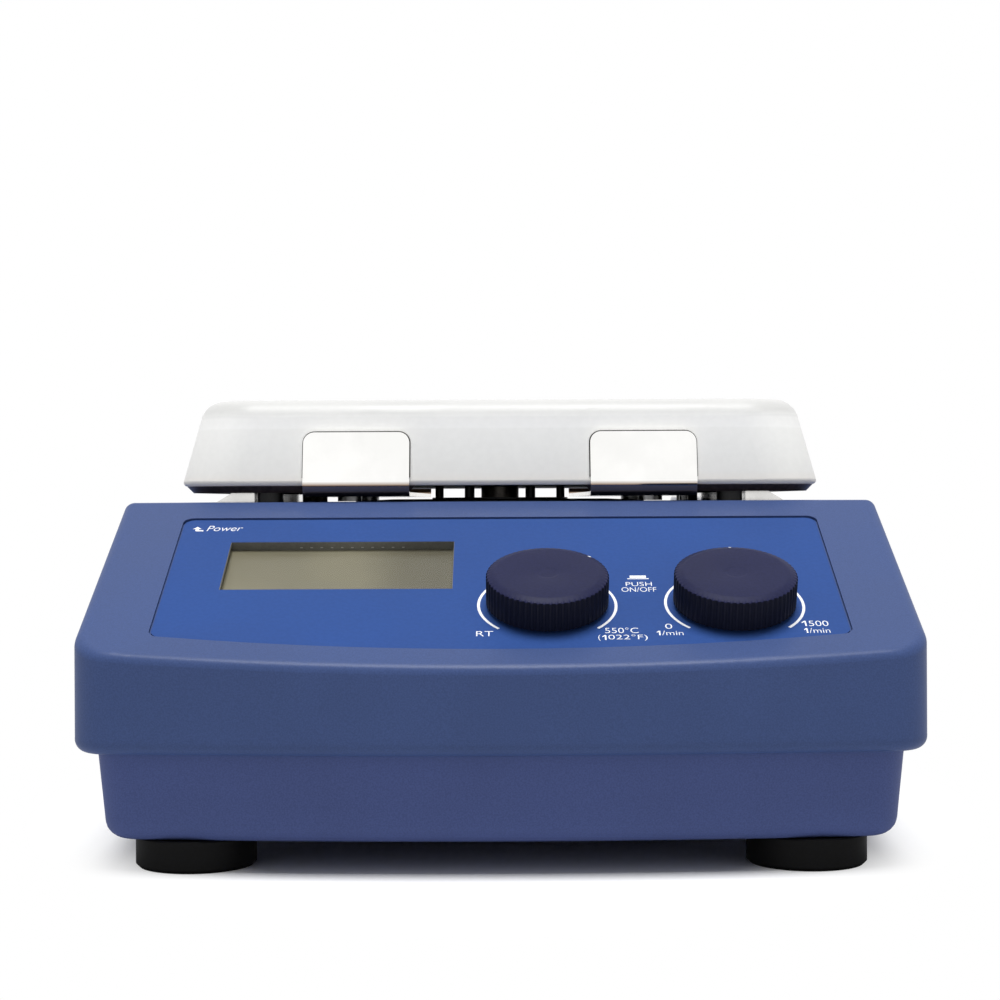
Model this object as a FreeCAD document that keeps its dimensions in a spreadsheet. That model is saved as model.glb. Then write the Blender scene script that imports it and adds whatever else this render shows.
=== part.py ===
import FreeCAD, Part
import os
import re

import Sketcher

# Square-topped hotplate magnetic stirrer, in millimetres.
# +Z is up, +Y points to the rear, and the control panel faces -Y.
# The origin is at the centre of the footprint, on the surface that the feet stand on.

os.makedirs("parts", exist_ok=True)
doc = FreeCAD.newDocument("HotplateStirrer")
sheet = doc.addObject("Spreadsheet::Sheet", "Sizes")

SIZES = [
    ("housing_width", 218.6, "width of the blue cover"),
    ("housing_depth", 300.0, "front to rear of the cover"),
    ("skirt_bottom", 30.8, "height of the cover's lower edge"),
    ("front_face_top", 53.2, "height where the panel slope starts"),
    ("slope_angle", 25.3, "tilt of the control panel, degrees"),
    ("deck_top", 94.4, "height of the deck under the hot plate"),
    ("front_bow", 8.0, "how far the middle of the front stands out"),
    ("plan_corner", 12.0, "corner radius in plan"),
    ("edge_round", 3.0, "rounding of the upper edges"),
    ("skirt_round", 3.4, "rounding of the lower edge"),
    ("wall", 3.0, "wall of the cover"),
    ("tub_inset", 4.7, "tub stands in from the cover at its rim"),
    ("tub_rim", 38.0, "height of the tub's rim, hidden in the cover"),
    ("tub_draft", 5.0, "draft of the tub walls, degrees"),
    ("tub_wall", 3.0, "wall and floor of the tub"),
    ("tub_round", 5.0, "rounding of the tub's lower edge"),
    ("tub_corner", 10.0, "corner radius of the tub in plan"),
    ("flange_thick", 2.5, "thickness of the flange round the tub's rim"),
    ("seat_gap", 0.3, "clearance between parts that slip together"),
    ("vent_length", 46.0, "length of a vent slot in the tub's floor"),
    ("vent_width", 3.0, "width of a vent slot"),
    ("vent_pitch", 8.0, "spacing of the vent slots"),
    ("foot_diameter", 31.3, "rubber foot"),
    ("foot_height", 8.2, "height of a foot"),
    ("foot_x", 79.7, "feet to the left and right of the middle"),
    ("foot_front", 27.5, "front feet behind the front"),
    ("foot_rear", 30.0, "rear feet ahead of the rear"),
    ("case_screw_x", 93.0, "case screws beside the middle"),
    ("case_screw_front", 60.0, "front case screws behind the front"),
    ("case_screw_rear", 25.0, "rear case screws ahead of the rear"),
    ("case_joint", 40.0, "height where the screw bosses meet"),
    ("overlay_half", 90.3, "half width of the panel overlay"),
    ("overlay_top", 86.0, "top edge of the overlay, up the slope"),
    ("overlay_side_end", 17.1, "lower corners of the overlay, up the slope"),
    ("overlay_bow", 7.6, "bow of the overlay's lower edge"),
    ("overlay_thick", 0.4, "overlay foil"),
    ("overlay_gap", 0.5, "groove round the overlay"),
    ("overlay_depth", 0.8, "depth of the recess that holds the overlay"),
    ("window_left", -75.2, "left edge of the display opening"),
    ("window_right", -12.8, "right edge of the display opening"),
    ("window_low", 42.9, "lower edge of the display opening, up the slope"),
    ("window_high", 71.3, "upper edge of the display opening, up the slope"),
    ("window_thick", 1.0, "clear window"),
    ("window_rebate", 1.4, "depth of the seat that holds the window behind the panel"),
    ("window_lap", 3.5, "window laps behind the opening"),
    ("board_depth", 13.0, "control board below the slope"),
    ("board_thick", 1.6, "circuit boards"),
    ("board_half", 86.0, "half width of the control board"),
    ("board_low", 14.0, "lower edge of the control board, up the slope"),
    ("board_high", 84.0, "upper edge of the control board, up the slope"),
    ("heating_knob_x", 12.3, "axis of the heating knob"),
    ("stirring_knob_x", 61.5, "axis of the stirring knob"),
    ("knob_up", 33.5, "knob axes, up the slope"),
    ("knob_radius", 16.1, "knob"),
    ("knob_top", 9.2, "top of a knob above the slope"),
    ("knob_gap", 0.4, "gap under a knob"),
    ("knob_bevel", 2.3, "width of the bevel round a knob's top"),
    ("knob_bevel_drop", 0.9, "height of the bevel round a knob's top"),
    ("knob_dimple", 0.15, "depth of the dimple in a knob's top"),
    ("knob_skirt", 2.4, "wall of a knob's skirt"),
    ("knurl_count", 63, "flutes round a knob"),
    ("knurl_radius", 0.66, "radius of a flute"),
    ("push_travel", 0.5, "travel of a pressed knob"),
    ("shaft_radius", 3.0, "control shaft"),
    ("running_gap", 0.05, "radial clearance of a running fit"),
    ("bush_radius", 4.5, "threaded bush of a control"),
    ("plate_side", 190.0, "side of the hot plate at its rim"),
    ("plate_gap", 4.8, "rim of the hot plate above the deck"),
    ("plate_height", 25.4, "height of the hot plate"),
    ("plate_draft", 14.0, "slant of the hot plate's sides, degrees"),
    ("plate_corner", 18.5, "corner radius of the hot plate in plan"),
    ("plate_round", 7.0, "rounding of the hot plate's upper edge"),
    ("plate_rim_round", 1.2, "rounding of the hot plate's rim"),
    ("plate_wall", 4.0, "thickness of the hot plate"),
    ("plate_rear_gap", 22.4, "rim of the hot plate ahead of the cover's rear"),
    ("pan_drop", 2.0, "underside of the pan below the hot plate's rim"),
    ("pan_sheet", 1.0, "sheet of the pan"),
    ("pan_inset", 1.4, "edge of the pan inside the hot plate's rim"),
    ("pan_rim", 2.0, "wall of the pan's edge"),
    ("pan_bevel", 1.9, "bevel round the pan's edge"),
    ("channel_top", 49.7, "width of the air channel's mouth at its roof"),
    ("channel_foot", 53.0, "width of the air channel's mouth at its foot"),
    ("channel_width", 72.0, "width of the air channel behind its mouth"),
    ("channel_rise", 2.0, "height of the air channel"),
    ("strap_width", 31.0, "width of a plate strap"),
    ("strap_thick", 1.2, "sheet of a plate strap"),
    ("strap_x", 41.9, "middle of each strap"),
    ("strap_top", 18.8, "height of a strap's upturned ends"),
    ("strap_bend", 3.0, "inner radius of a strap's bends"),
    ("strap_corner", 3.2, "corner radius of a strap's ends"),
    ("strap_screw_x", 47.3, "strap screws beside the middle"),
    ("strap_screw_y", 46.0, "strap screws ahead of and behind the drive"),
    ("post_x", 68.3, "posts beside the middle"),
    ("post_front", 81.0, "front posts ahead of the drive"),
    ("post_rear", 56.0, "rear posts behind the drive"),
    ("post_radius", 3.8, "post between deck and pan"),
    ("stud_radius", 2.0, "threaded end of a post under the deck"),
    ("rail_inner", 72.9, "inner wall of a side rail"),
    ("rail_top", 79.7, "outer edge of a side rail at its top"),
    ("rail_foot", 84.3, "outer edge of a side rail at its foot"),
    ("rail_length", 166.0, "length of a side rail"),
    ("rail_sheet", 0.8, "sheet of a side rail"),
    ("deflector_radius", 48.5, "heat deflector on the deck"),
    ("deflector_flat", 36.0, "flat middle of the heat deflector"),
    ("deflector_rise", 0.8, "height of the heat deflector"),
    ("cage_radius", 20.4, "circle of the cage's pins"),
    ("cage_pins", 6, "pins of the cage"),
    ("cage_pin_radius", 1.4, "a pin of the cage"),
    ("cage_ring", 0.5, "thickness of the cage's ring"),
    ("hub_radius", 6.3, "shoulder of the drive shaft"),
    ("spindle_radius", 4.0, "drive shaft in the motor"),
    ("drive_hole", 7.5, "radius of the holes round the drive shaft"),
    ("motor_radius", 29.0, "drive motor"),
    ("motor_height", 34.0, "drive motor"),
    ("bracket_drop", 7.4, "underside of the motor bracket below the deck's underside"),
    ("bracket_thick", 2.5, "motor bracket"),
    ("bracket_half", 31.0, "half side of the motor bracket"),
    ("bracket_screw", 25.0, "bracket screws beside and ahead of the drive"),
    ("yoke_length", 90.0, "magnet yoke"),
    ("yoke_width", 26.0, "magnet yoke"),
    ("yoke_thick", 3.0, "magnet yoke"),
    ("magnet_length", 26.0, "drive magnet"),
    ("magnet_height", 6.4, "drive magnet"),
    ("yoke_gap", 1.2, "yoke above the pan's channel"),
    ("insulation_side", 170.0, "insulation board under the heater"),
    ("insulation_thick", 5.0, "insulation board"),
    ("heater_thick", 3.0, "heater windings"),
    ("heater_first", 24.0, "radius of the smallest winding"),
    ("heater_pitch", 14.0, "spacing of the windings"),
    ("heater_turns", 4, "windings"),
    ("probe_x", 62.0, "temperature probe and heater terminals beside the drive"),
    ("probe_radius", 1.5, "temperature probe"),
    ("terminal_radius", 3.0, "heater terminal"),
    ("terminal_y", 9.0, "heater terminals ahead of and behind the drive"),
    ("bay_left", -88.0, "left side of the rear bay"),
    ("bay_right", 38.0, "right side of the rear bay"),
    ("bay_low", 42.0, "floor of the rear bay"),
    ("bay_high", 84.0, "ceiling of the rear bay"),
    ("bay_depth", 4.5, "depth of the rear bay"),
    ("bay_corner", 5.0, "corner radius of the rear bay"),
    ("bay_middle", 63.0, "height of the sockets in the rear bay"),
    ("inlet_x", -26.0, "power inlet"),
    ("inlet_width", 28.0, "body of the power inlet"),
    ("inlet_height", 31.0, "body of the power inlet"),
    ("inlet_depth", 26.0, "body of the power inlet"),
    ("inlet_flange_width", 50.0, "flange of the power inlet"),
    ("inlet_flange_height", 34.0, "flange of the power inlet"),
    ("inlet_flange_thick", 2.0, "flange of the power inlet"),
    ("inlet_screw_pitch", 40.0, "screws of the power inlet"),
    ("mouth_width", 24.6, "recess of the power inlet"),
    ("mouth_height", 16.6, "recess of the power inlet"),
    ("mouth_depth", 18.0, "recess of the power inlet, from the flange's face"),
    ("mouth_cut", 5.0, "cut corners of the recess"),
    ("mouth_up", 6.0, "middle of the recess above the inlet's middle"),
    ("pin_pitch", 7.0, "contact pins of the inlet"),
    ("pin_wide", 2.0, "contact pin"),
    ("pin_tall", 4.0, "contact pin"),
    ("pin_short", 3.0, "pins end inside the flange's face"),
    ("drawer_width", 22.2, "fuse drawer"),
    ("drawer_height", 7.6, "fuse drawer"),
    ("drawer_depth", 16.0, "fuse drawer"),
    ("drawer_down", 9.6, "middle of the fuse drawer below the inlet's middle"),
    ("fuse_radius", 2.6, "fuse"),
    ("fuse_length", 20.0, "fuse"),
    ("switch_x", -68.0, "power switch"),
    ("switch_width", 17.0, "bezel of the switch"),
    ("switch_height", 22.0, "bezel of the switch"),
    ("switch_bezel", 2.0, "thickness of the bezel"),
    ("switch_depth", 16.0, "body of the switch"),
    ("switch_lap", 1.3, "bezel laps over the cut-out"),
    ("rocker_width", 11.2, "power rocker"),
    ("rocker_height", 16.0, "power rocker"),
    ("rocker_pivot", 3.4, "pivot of the rocker behind the bezel's face"),
    ("rocker_tilt", 8.0, "tilt of the rocker either way, degrees"),
    ("rocker_pin", 1.0, "pivot pins of the rocker"),
    ("sensor_x", 20.0, "sensor socket"),
    ("sensor_flange", 8.0, "flange radius of the sensor socket"),
    ("sensor_barrel", 6.0, "barrel radius of the sensor socket"),
    ("sensor_bore", 4.3, "bore radius of the sensor socket"),
    ("rod_x", 75.0, "socket for the support rod"),
    ("rod_rear", 11.5, "support rod socket ahead of the rear"),
    ("rod_thread", 4.25, "wall radius of the M10 thread"),
    ("rod_thread_depth", 18.0, "threaded depth"),
    ("rod_barrel", 7.0, "barrel radius of the rod socket"),
    ("rod_flange", 8.5, "flange radius of the rod socket"),
    ("power_board_length", 110.0, "power board"),
    ("power_board_width", 84.0, "power board"),
    ("power_board_rise", 8.0, "power board above the tub's floor"),
    ("power_board_left", 20.0, "middle of the power board left of the drive"),
    ("power_board_front", 40.0, "middle of the power board ahead of the middle"),
    ("capacitor_radius", 9.0, "capacitor"),
    ("capacitor_height", 22.0, "capacitor"),
    ("relay_side", 22.0, "relay"),
    ("relay_height", 15.0, "relay"),
    ("terminal_block_length", 36.0, "terminal block"),
    ("terminal_block_height", 11.0, "terminal block"),
    ("transformer_side", 43.3, "middle of the transformer inside the cover's side"),
    ("transformer_front", 34.0, "middle of the transformer ahead of the middle"),
    ("core_length", 42.0, "transformer core"),
    ("core_width", 22.0, "transformer core"),
    ("core_height", 34.0, "transformer core"),
    ("coil_length", 26.0, "transformer coil"),
    ("coil_rise", 6.0, "transformer coil above and below the core's edges"),
    ("bolt_radius", 1.95, "shank of the larger screws"),
    ("bolt_pilot", 2.0, "threaded holes for the larger screws"),
    ("bolt_hole", 2.2, "clearance holes for the larger screws"),
    ("bolt_head", 4.0, "heads of the larger screws"),
    ("bolt_head_height", 2.4, "heads of the larger screws"),
    ("low_head", 3.8, "heads of the strap screws"),
    ("low_head_height", 1.4, "heads of the strap screws"),
    ("small_bolt_radius", 1.4, "shank of the smaller screws"),
    ("small_bolt_pilot", 1.45, "threaded holes for the smaller screws"),
    ("small_bolt_hole", 1.6, "clearance holes for the smaller screws"),
    ("small_bolt_head", 2.8, "heads of the smaller screws"),
    ("small_bolt_head_height", 1.8, "heads of the smaller screws"),
    ("nut_across", 7.0, "nuts of the straps and posts"),
]

for row, (alias, size, meaning) in enumerate(SIZES, start=1):
    sheet.set(f"A{row}", meaning)
    sheet.set(f"B{row}", str(size))
    sheet.setAlias(f"B{row}", alias)
doc.recompute()

ALIASES = {alias for alias, size, meaning in SIZES}
WORD = re.compile(r"[a-z_]+")

X_AXIS = FreeCAD.Vector(1, 0, 0)
Y_AXIS = FreeCAD.Vector(0, 1, 0)
Z_AXIS = FreeCAD.Vector(0, 0, 1)

# Heights and places that follow from the driving sizes
HALF_WIDTH = "(housing_width / 2)"
HALF_DEPTH = "(housing_depth / 2)"
DECK_UNDER = "(deck_top - wall)"
FLOOR_TOP = "(foot_height + tub_wall)"
PLATE_Y = "(housing_depth / 2 - plate_rear_gap - plate_side / 2)"
PLATE_Z = "(deck_top + plate_gap)"
PLATE_UNDER = "(deck_top + plate_gap + plate_height - plate_wall)"
PAN_Z = "(deck_top + plate_gap - pan_drop)"
CHANNEL_ROOF = "(deck_top + plate_gap - pan_drop + channel_rise)"
CHANNEL_OVER = "(deck_top + plate_gap - pan_drop + channel_rise + pan_sheet)"
YOKE_Z = "(deck_top + plate_gap - pan_drop + channel_rise + pan_sheet + yoke_gap)"
HEATER_Z = "(deck_top + plate_gap + plate_height - plate_wall - heater_thick)"
BOARD_UNDER_HEATER = HEATER_Z[:-1] + " - insulation_thick)"
BRACKET_Z = "(deck_top - wall - bracket_drop)"
BAY_FLOOR = "(housing_depth / 2 - bay_depth)"
BOW_RADIUS = "((housing_width ^ 2 / 4 + front_bow ^ 2) / (2 * front_bow))"
THROUGH = "(housing_depth + housing_width)"


def bound(expression):
    """The expression with every named size pointing at its cell."""
    return WORD.sub(lambda m: "Sizes." + m.group(0) if m.group(0) in ALIASES else m.group(0),
                    str(expression))


def number(expression):
    """What an expression comes to with the present sizes."""
    found = sheet.evalExpression(bound(expression))
    return float(getattr(found, "Value", found))


def tie(thing, prop, expression):
    """Binds one property of an object to an expression of named sizes."""
    thing.setExpression(prop, bound(expression))


def place(thing, x="0", y="0", z="0", axis=None, angle="0"):
    """Moves an object to a place given by expressions, turned about an axis if one is given."""
    turn = FreeCAD.Rotation(axis, number(angle)) if axis else FreeCAD.Rotation()
    spot = FreeCAD.Vector(number(x), number(y), number(z))
    thing.Placement = FreeCAD.Placement(spot, turn)
    for name, expression in (("x", x), ("y", y), ("z", z)):
        tie(thing, "Placement.Base." + name, expression)
    if axis and str(angle) not in ("90", "-90", "180", "45"):
        tie(thing, "Placement.Rotation.Angle", angle)
    return thing


def on_slope(thing, x="0", up="0", out="0"):
    """Places an object on the panel: across, up the slope, and out along its normal."""
    y = f"-housing_depth / 2 + ({up}) * cos(slope_angle) - ({out}) * sin(slope_angle)"
    z = f"front_face_top + ({up}) * sin(slope_angle) + ({out}) * cos(slope_angle)"
    return place(thing, x, y, z, X_AXIS, "slope_angle")


def box(name, length, width, height, x="0", y="0", z="0"):
    """A block centred on x and y, standing on z."""
    block = doc.addObject("Part::Box", name)
    for prop, expression in (("Length", length), ("Width", width), ("Height", height)):
        tie(block, prop, expression)
    return place(block, f"({x}) - ({length}) / 2", f"({y}) - ({width}) / 2", z)


def slope_box(name, left, right, low, high, under, over):
    """A block in the panel's frame, between edges given across, up the slope and out."""
    block = doc.addObject("Part::Box", name)
    tie(block, "Length", f"({right}) - ({left})")
    tie(block, "Width", f"({high}) - ({low})")
    tie(block, "Height", f"({over}) - ({under})")
    return on_slope(block, left, low, under)


def rod(name, radius, height, x="0", y="0", z="0", axis=None, angle="0"):
    """A cylinder standing on its place, or leaning as the axis and angle say."""
    made = doc.addObject("Part::Cylinder", name)
    tie(made, "Radius", radius)
    tie(made, "Height", height)
    return place(made, x, y, z, axis, angle)


def slope_rod(name, radius, x, up, under, over):
    """A cylinder along the panel's normal."""
    made = doc.addObject("Part::Cylinder", name)
    tie(made, "Radius", radius)
    tie(made, "Height", f"({over}) - ({under})")
    return on_slope(made, x, up, under)


def rear_rod(name, radius, length, x, y, z):
    """A cylinder that runs from y towards the rear."""
    return rod(name, radius, length, x, y, z, X_AXIS, "-90")


def hexagon(name, across, height, x="0", y="0", z="0"):
    """A hexagonal block, such as a nut without its hole."""
    made = doc.addObject("Part::Prism", name)
    made.Polygon = 6
    tie(made, "Circumradius", f"({across}) / 2 / cos(30)")
    tie(made, "Height", height)
    return place(made, x, y, z)


def fuse(name, pieces):
    """One solid from pieces that meet."""
    made = doc.addObject("Part::MultiFuse", name)
    made.Shapes = pieces
    made.Refine = True
    return made


def cut(name, base, tools):
    """The base with one or more tools taken out of it."""
    made = doc.addObject("Part::Cut", name)
    made.Base = base
    made.Tool = tools[0] if len(tools) == 1 else fuse(name + "Tools", tools)
    made.Refine = True
    return made


def common(name, first, second):
    """What two shapes have in common."""
    made = doc.addObject("Part::Common", name)
    made.Base = first
    made.Tool = second
    return made


def group(name, pieces):
    """Separate solids that share one node."""
    made = doc.addObject("Part::Compound", name)
    made.Links = pieces
    return made


def corners(name, base, test, radius):
    """Rounds the edges of a shape that pass a test."""
    doc.recompute()
    size = number(radius)
    made = doc.addObject("Part::Fillet", name)
    made.Base = base
    made.Edges = [(i, size, size) for i, edge in enumerate(base.Shape.Edges, start=1) if test(edge)]
    return made


def new_body(name):
    """An empty body."""
    return doc.addObject("PartDesign::Body", name)


def outline(body, name, role, points, lift="0", arcs=None):
    """A closed sketch through points given as pairs of expressions, counter-clockwise.

    arcs gives the radius of each edge that bows outwards, by the number of its first point.
    """
    arcs = arcs or {}
    sketch = body.newObject("Sketcher::SketchObject", name)
    plane = next(f for f in body.Origin.OriginFeatures if f.Role == role)
    sketch.AttachmentSupport = (plane, "")
    sketch.MapMode = "FlatFace"
    tie(sketch, "AttachmentOffset.Base.z", lift)
    spots = [FreeCAD.Vector(number(x), number(y), 0) for x, y in points]
    ends = []
    for i, start in enumerate(spots):
        end = spots[(i + 1) % len(spots)]
        if i in arcs:
            chord = end - start
            radius = number(arcs[i])
            sag = radius - (radius ** 2 - (chord.Length / 2) ** 2) ** 0.5
            outward = FreeCAD.Vector(chord.y, -chord.x, 0).normalize()
            middle = (start + end) * 0.5 + outward * sag
            sketch.addGeometry(Part.Arc(start, middle, end))
            forward = (sketch.Geometry[i].StartPoint - start).Length < 1e-6
            ends.append((1, 2) if forward else (2, 1))
        else:
            sketch.addGeometry(Part.LineSegment(start, end))
            ends.append((1, 2))
    for i, (first, last) in enumerate(ends):
        following = (i + 1) % len(ends)
        sketch.addConstraint(Sketcher.Constraint("Coincident", i, last, following, ends[following][0]))
    for i, (x, y) in enumerate(points):
        for kind, expression in (("DistanceX", x), ("DistanceY", y)):
            rule = Sketcher.Constraint(kind, -1, 1, i, ends[i][0], number(expression))
            index = sketch.addConstraint(rule)
            tie(sketch, f"Constraints[{index}]", expression)
    for i, radius in arcs.items():
        index = sketch.addConstraint(Sketcher.Constraint("Radius", i, number(radius)))
        tie(sketch, f"Constraints[{index}]", radius)
    return sketch


def pad(body, sketch, length, both_ways=False, taper=None):
    """Pads a sketch; both_ways pads it evenly to both sides."""
    made = body.newObject("PartDesign::Pad", body.Name + "Pad")
    made.Profile = sketch
    tie(made, "Length", length)
    made.Midplane = both_ways
    if taper:
        tie(made, "TaperAngle", taper)
    doc.recompute()
    return made


def pocket(body, sketch, length, both_ways=False, other_way=False):
    """Pockets a sketch out of the body."""
    made = body.newObject("PartDesign::Pocket", body.Name + "Pocket")
    made.Profile = sketch
    tie(made, "Length", length)
    made.Midplane = both_ways
    made.Reversed = other_way
    doc.recompute()
    return made


def dress(body, kind, test, size):
    """A fillet or chamfer on the body's edges that pass a test."""
    doc.recompute()
    base = body.Tip
    names = [f"Edge{i}" for i, edge in enumerate(base.Shape.Edges, start=1) if test(edge)]
    made = body.newObject("PartDesign::" + kind, body.Name + kind)
    made.Base = (base, names)
    tie(made, "Radius" if kind == "Fillet" else "Size", size)
    doc.recompute()
    return made


def turned(name, points, arcs=None):
    """A body turned about its own Z axis; points are pairs of radius and height."""
    body = new_body(name)
    sketch = outline(body, name + "Profile", "XZ_Plane", points, arcs=arcs)
    made = body.newObject("PartDesign::Revolution", name + "Revolution")
    made.Profile = sketch
    made.ReferenceAxis = (sketch, ["V_Axis"])
    made.Angle = 360
    doc.recompute()
    return body


def upright(edge):
    """An edge that runs mostly up and down."""
    ends = edge.Vertexes
    if len(ends) < 2:
        return False
    run = ends[-1].Point - ends[0].Point
    return abs(run.z) > 2 * (run.x ** 2 + run.y ** 2) ** 0.5


def level_at(height):
    """A test for edges that lie at one height."""
    return lambda edge: abs(edge.BoundBox.ZMin - height) < 0.01 and edge.BoundBox.ZLength < 0.02


def plan_points(inset):
    """The bowed plan of the case, inset by an amount, and the radius of its front."""
    half = f"({HALF_WIDTH} - {inset})"
    radius = f"({BOW_RADIUS} - {inset})"
    front = f"(-{HALF_DEPTH} + {BOW_RADIUS} - sqrt({radius} ^ 2 - {half} ^ 2))"
    rear = f"({HALF_DEPTH} - {inset})"
    points = [("-" + half, front), (half, front), (half, rear), ("-" + half, rear)]
    return points, {0: radius}


def plan_body(name, inset, base, height, corner, taper=None):
    """A bowed block with rounded corners in plan."""
    body = new_body(name)
    points, arcs = plan_points(inset)
    sketch = outline(body, name + "Plan", "XY_Plane", points, base, arcs)
    pad(body, sketch, height, taper=taper)
    dress(body, "Fillet", upright, corner)
    return body


def cut_slope(body, drop):
    """Takes the panel slope off a body; drop lowers it along the normal."""
    reach = 20
    start = f"(front_face_top - ({drop}) / cos(slope_angle))"
    rise = f"({reach} * tan(slope_angle))"
    top = "(deck_top + 30)"
    run = f"(({top} - {start}) / tan(slope_angle))"
    points = [(f"-{HALF_DEPTH} - {reach}", f"{start} - {rise}"),
              (f"-{HALF_DEPTH} + {run}", top),
              (f"-{HALF_DEPTH} - {reach}", top)]
    sketch = outline(body, body.Name + "Slope", "YZ_Plane", points)
    pocket(body, sketch, THROUGH, both_ways=True)


def square(body, name, side, lift):
    """A square sketch centred on the body's origin."""
    half = f"({side}) / 2"
    points = [(f"-({half})", f"-({half})"), (half, f"-({half})"), (half, half), (f"-({half})", half)]
    return outline(body, name, "XY_Plane", points, lift)


def overlay_body(name, clearance, depth):
    """The panel overlay's outline as a prism along the normal, made in the panel's frame."""
    body = new_body(name)
    half = f"(overlay_half - {clearance})"
    radius = "((overlay_half ^ 2 + overlay_bow ^ 2) / (2 * overlay_bow))"
    low = f"(overlay_side_end + {clearance})"
    high = f"(overlay_top - {clearance})"
    points = [("-" + half, low), (half, low), (half, high), ("-" + half, high)]
    sketch = outline(body, name + "Outline", "XY_Plane", points, arcs={0: radius})
    pad(body, sketch, depth)
    dress(body, "Fillet", upright, "3")
    return body


def screw(name, head, head_length, shank, length, x, y, z, up=True):
    """A round-headed screw with a hexagon socket; z is where the head meets its seat."""
    drop = f"({z}) - ({head_length})" if up else z
    body = rod(name + "Head", head, head_length, x, y, drop)
    start = z if up else f"({z}) - ({length})"
    stem = rod(name + "Stem", shank, length, x, y, start)
    joined = fuse(name + "Whole", [body, stem])
    deep = f"({head_length}) * 0.6"
    mouth = drop if up else f"({z}) + ({head_length}) * 0.4"
    return cut(name, joined, [hexagon(name + "Socket", f"({head}) * 0.9", deep, x, y, mouth)])


def nut(name, across, thick, hole, x, y, z):
    """A hexagon nut standing on z."""
    return cut(name, hexagon(name + "Block", across, thick, x, y, z),
               [rod(name + "Hole", hole, thick, x, y, z)])


FOOT_SPOTS = [(f"{side}foot_x", y) for side in ("-", "")
              for y in (f"(-{HALF_DEPTH} + foot_front)", f"({HALF_DEPTH} - foot_rear)")]
CASE_SPOTS = [(f"{side}case_screw_x", y) for side in ("-", "")
              for y in (f"(-{HALF_DEPTH} + case_screw_front)", f"({HALF_DEPTH} - case_screw_rear)")]
POST_SPOTS = [(f"{side}post_x", y) for side in ("-", "")
              for y in (f"({PLATE_Y} - post_front)", f"({PLATE_Y} + post_rear)")]
BRACKET_SPOTS = [(f"{side}bracket_screw", f"({PLATE_Y} {way} bracket_screw)")
                 for side in ("-", "") for way in ("-", "+")]
STRAP_SPOTS = [(f"{side}strap_screw_x", f"({PLATE_Y} {way} strap_screw_y)")
               for side in ("-", "") for way in ("-", "+")]
PANEL_SPOTS = [(f"{side}(board_half - 5)", up) for side in ("-", "")
               for up in ("(board_low + 6)", "(board_high - 6)")]
CONTROLS = [("heating", "heating_knob_x"), ("stirring", "stirring_knob_x")]

def along_y(edge):
    """An edge that runs from front to rear."""
    span = edge.BoundBox
    return span.YLength > 0.3 and span.XLength < 0.01 and span.ZLength < 0.01


def rear_block(name, width, height, depth, x, y, z, corner):
    """A block with rounded corners as seen from the rear, centred on x and z, from y rearwards."""
    block = box(name, width, depth, height, x, f"({y}) + ({depth}) / 2", f"({z}) - ({height}) / 2")
    return corners(name + "Rounded", block, along_y, corner)


BAY_WIDTH = "(bay_right - bay_left)"
BAY_HEIGHT = "(bay_high - bay_low)"
BAY_X = "((bay_left + bay_right) / 2)"
BAY_Z = "((bay_low + bay_high) / 2)"
FACE_Y = f"({BAY_FLOOR} + inlet_flange_thick)"
ROD_Y = f"({HALF_DEPTH} - rod_rear)"


def housing_bosses(shell):
    """Screw bosses under the deck and behind the panel, trimmed by the cover's outside."""
    bosses = []
    for i, (x, y) in enumerate(CASE_SPOTS):
        bosses.append(rod(f"CaseBoss{i}", "4.5", "deck_top - case_joint", x, y, "case_joint"))
    for i, (x, y) in enumerate(BRACKET_SPOTS):
        start = f"({BRACKET_Z} + bracket_thick)"
        bosses.append(rod(f"BracketBoss{i}", "4.2", f"{DECK_UNDER} - {start} + 1", x, y, start))
    for i, (x, up) in enumerate(PANEL_SPOTS):
        bosses.append(slope_rod(f"PanelBoss{i}", "3.2", x, up, "-board_depth", "0"))
    start = "(deck_top - rod_thread_depth - 4)"
    bosses.append(rod("RodBoss", "rod_barrel + 2.5", "rod_thread_depth + 4", "rod_x", ROD_Y, start))
    return common("HousingBosses", fuse("HousingBossRods", bosses), shell)


def deck_holes(name, base, depth, stud):
    """Holes for the drive, the posts, the probe and the heater terminals through one sheet."""
    holes = [rod(name + "Drive", "drive_hole", depth, "0", PLATE_Y, base)]
    for i, (x, y) in enumerate(POST_SPOTS):
        holes.append(rod(f"{name}Post{i}", stud, depth, x, y, base))
    holes.append(rod(name + "Probe", "probe_radius + seat_gap", depth, "probe_x", PLATE_Y, base))
    for i, way in enumerate("-+"):
        y = f"({PLATE_Y} {way} terminal_y)"
        holes.append(rod(f"{name}Terminal{i}", "terminal_radius + seat_gap", depth, "-probe_x", y, base))
    return holes


def window_hole(name):
    """The display opening through the panel."""
    return slope_box(name, "window_left", "window_right", "window_low", "window_high", "-wall - 1", "1")


def window_seat():
    """The rebate inside the panel that holds the window."""
    lap = "(window_lap + seat_gap)"
    return slope_box("WindowSeat", f"window_left - {lap}", f"window_right + {lap}",
                     f"window_low - {lap}", f"window_high + {lap}", "-wall - 1", "-wall + window_rebate")


def control_holes(name):
    """The round holes that the controls come through."""
    return [slope_rod(name + str(i), "bush_radius + seat_gap", x, "knob_up", "-wall - 1", "1")
            for i, (control, x) in enumerate(CONTROLS)]


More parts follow.
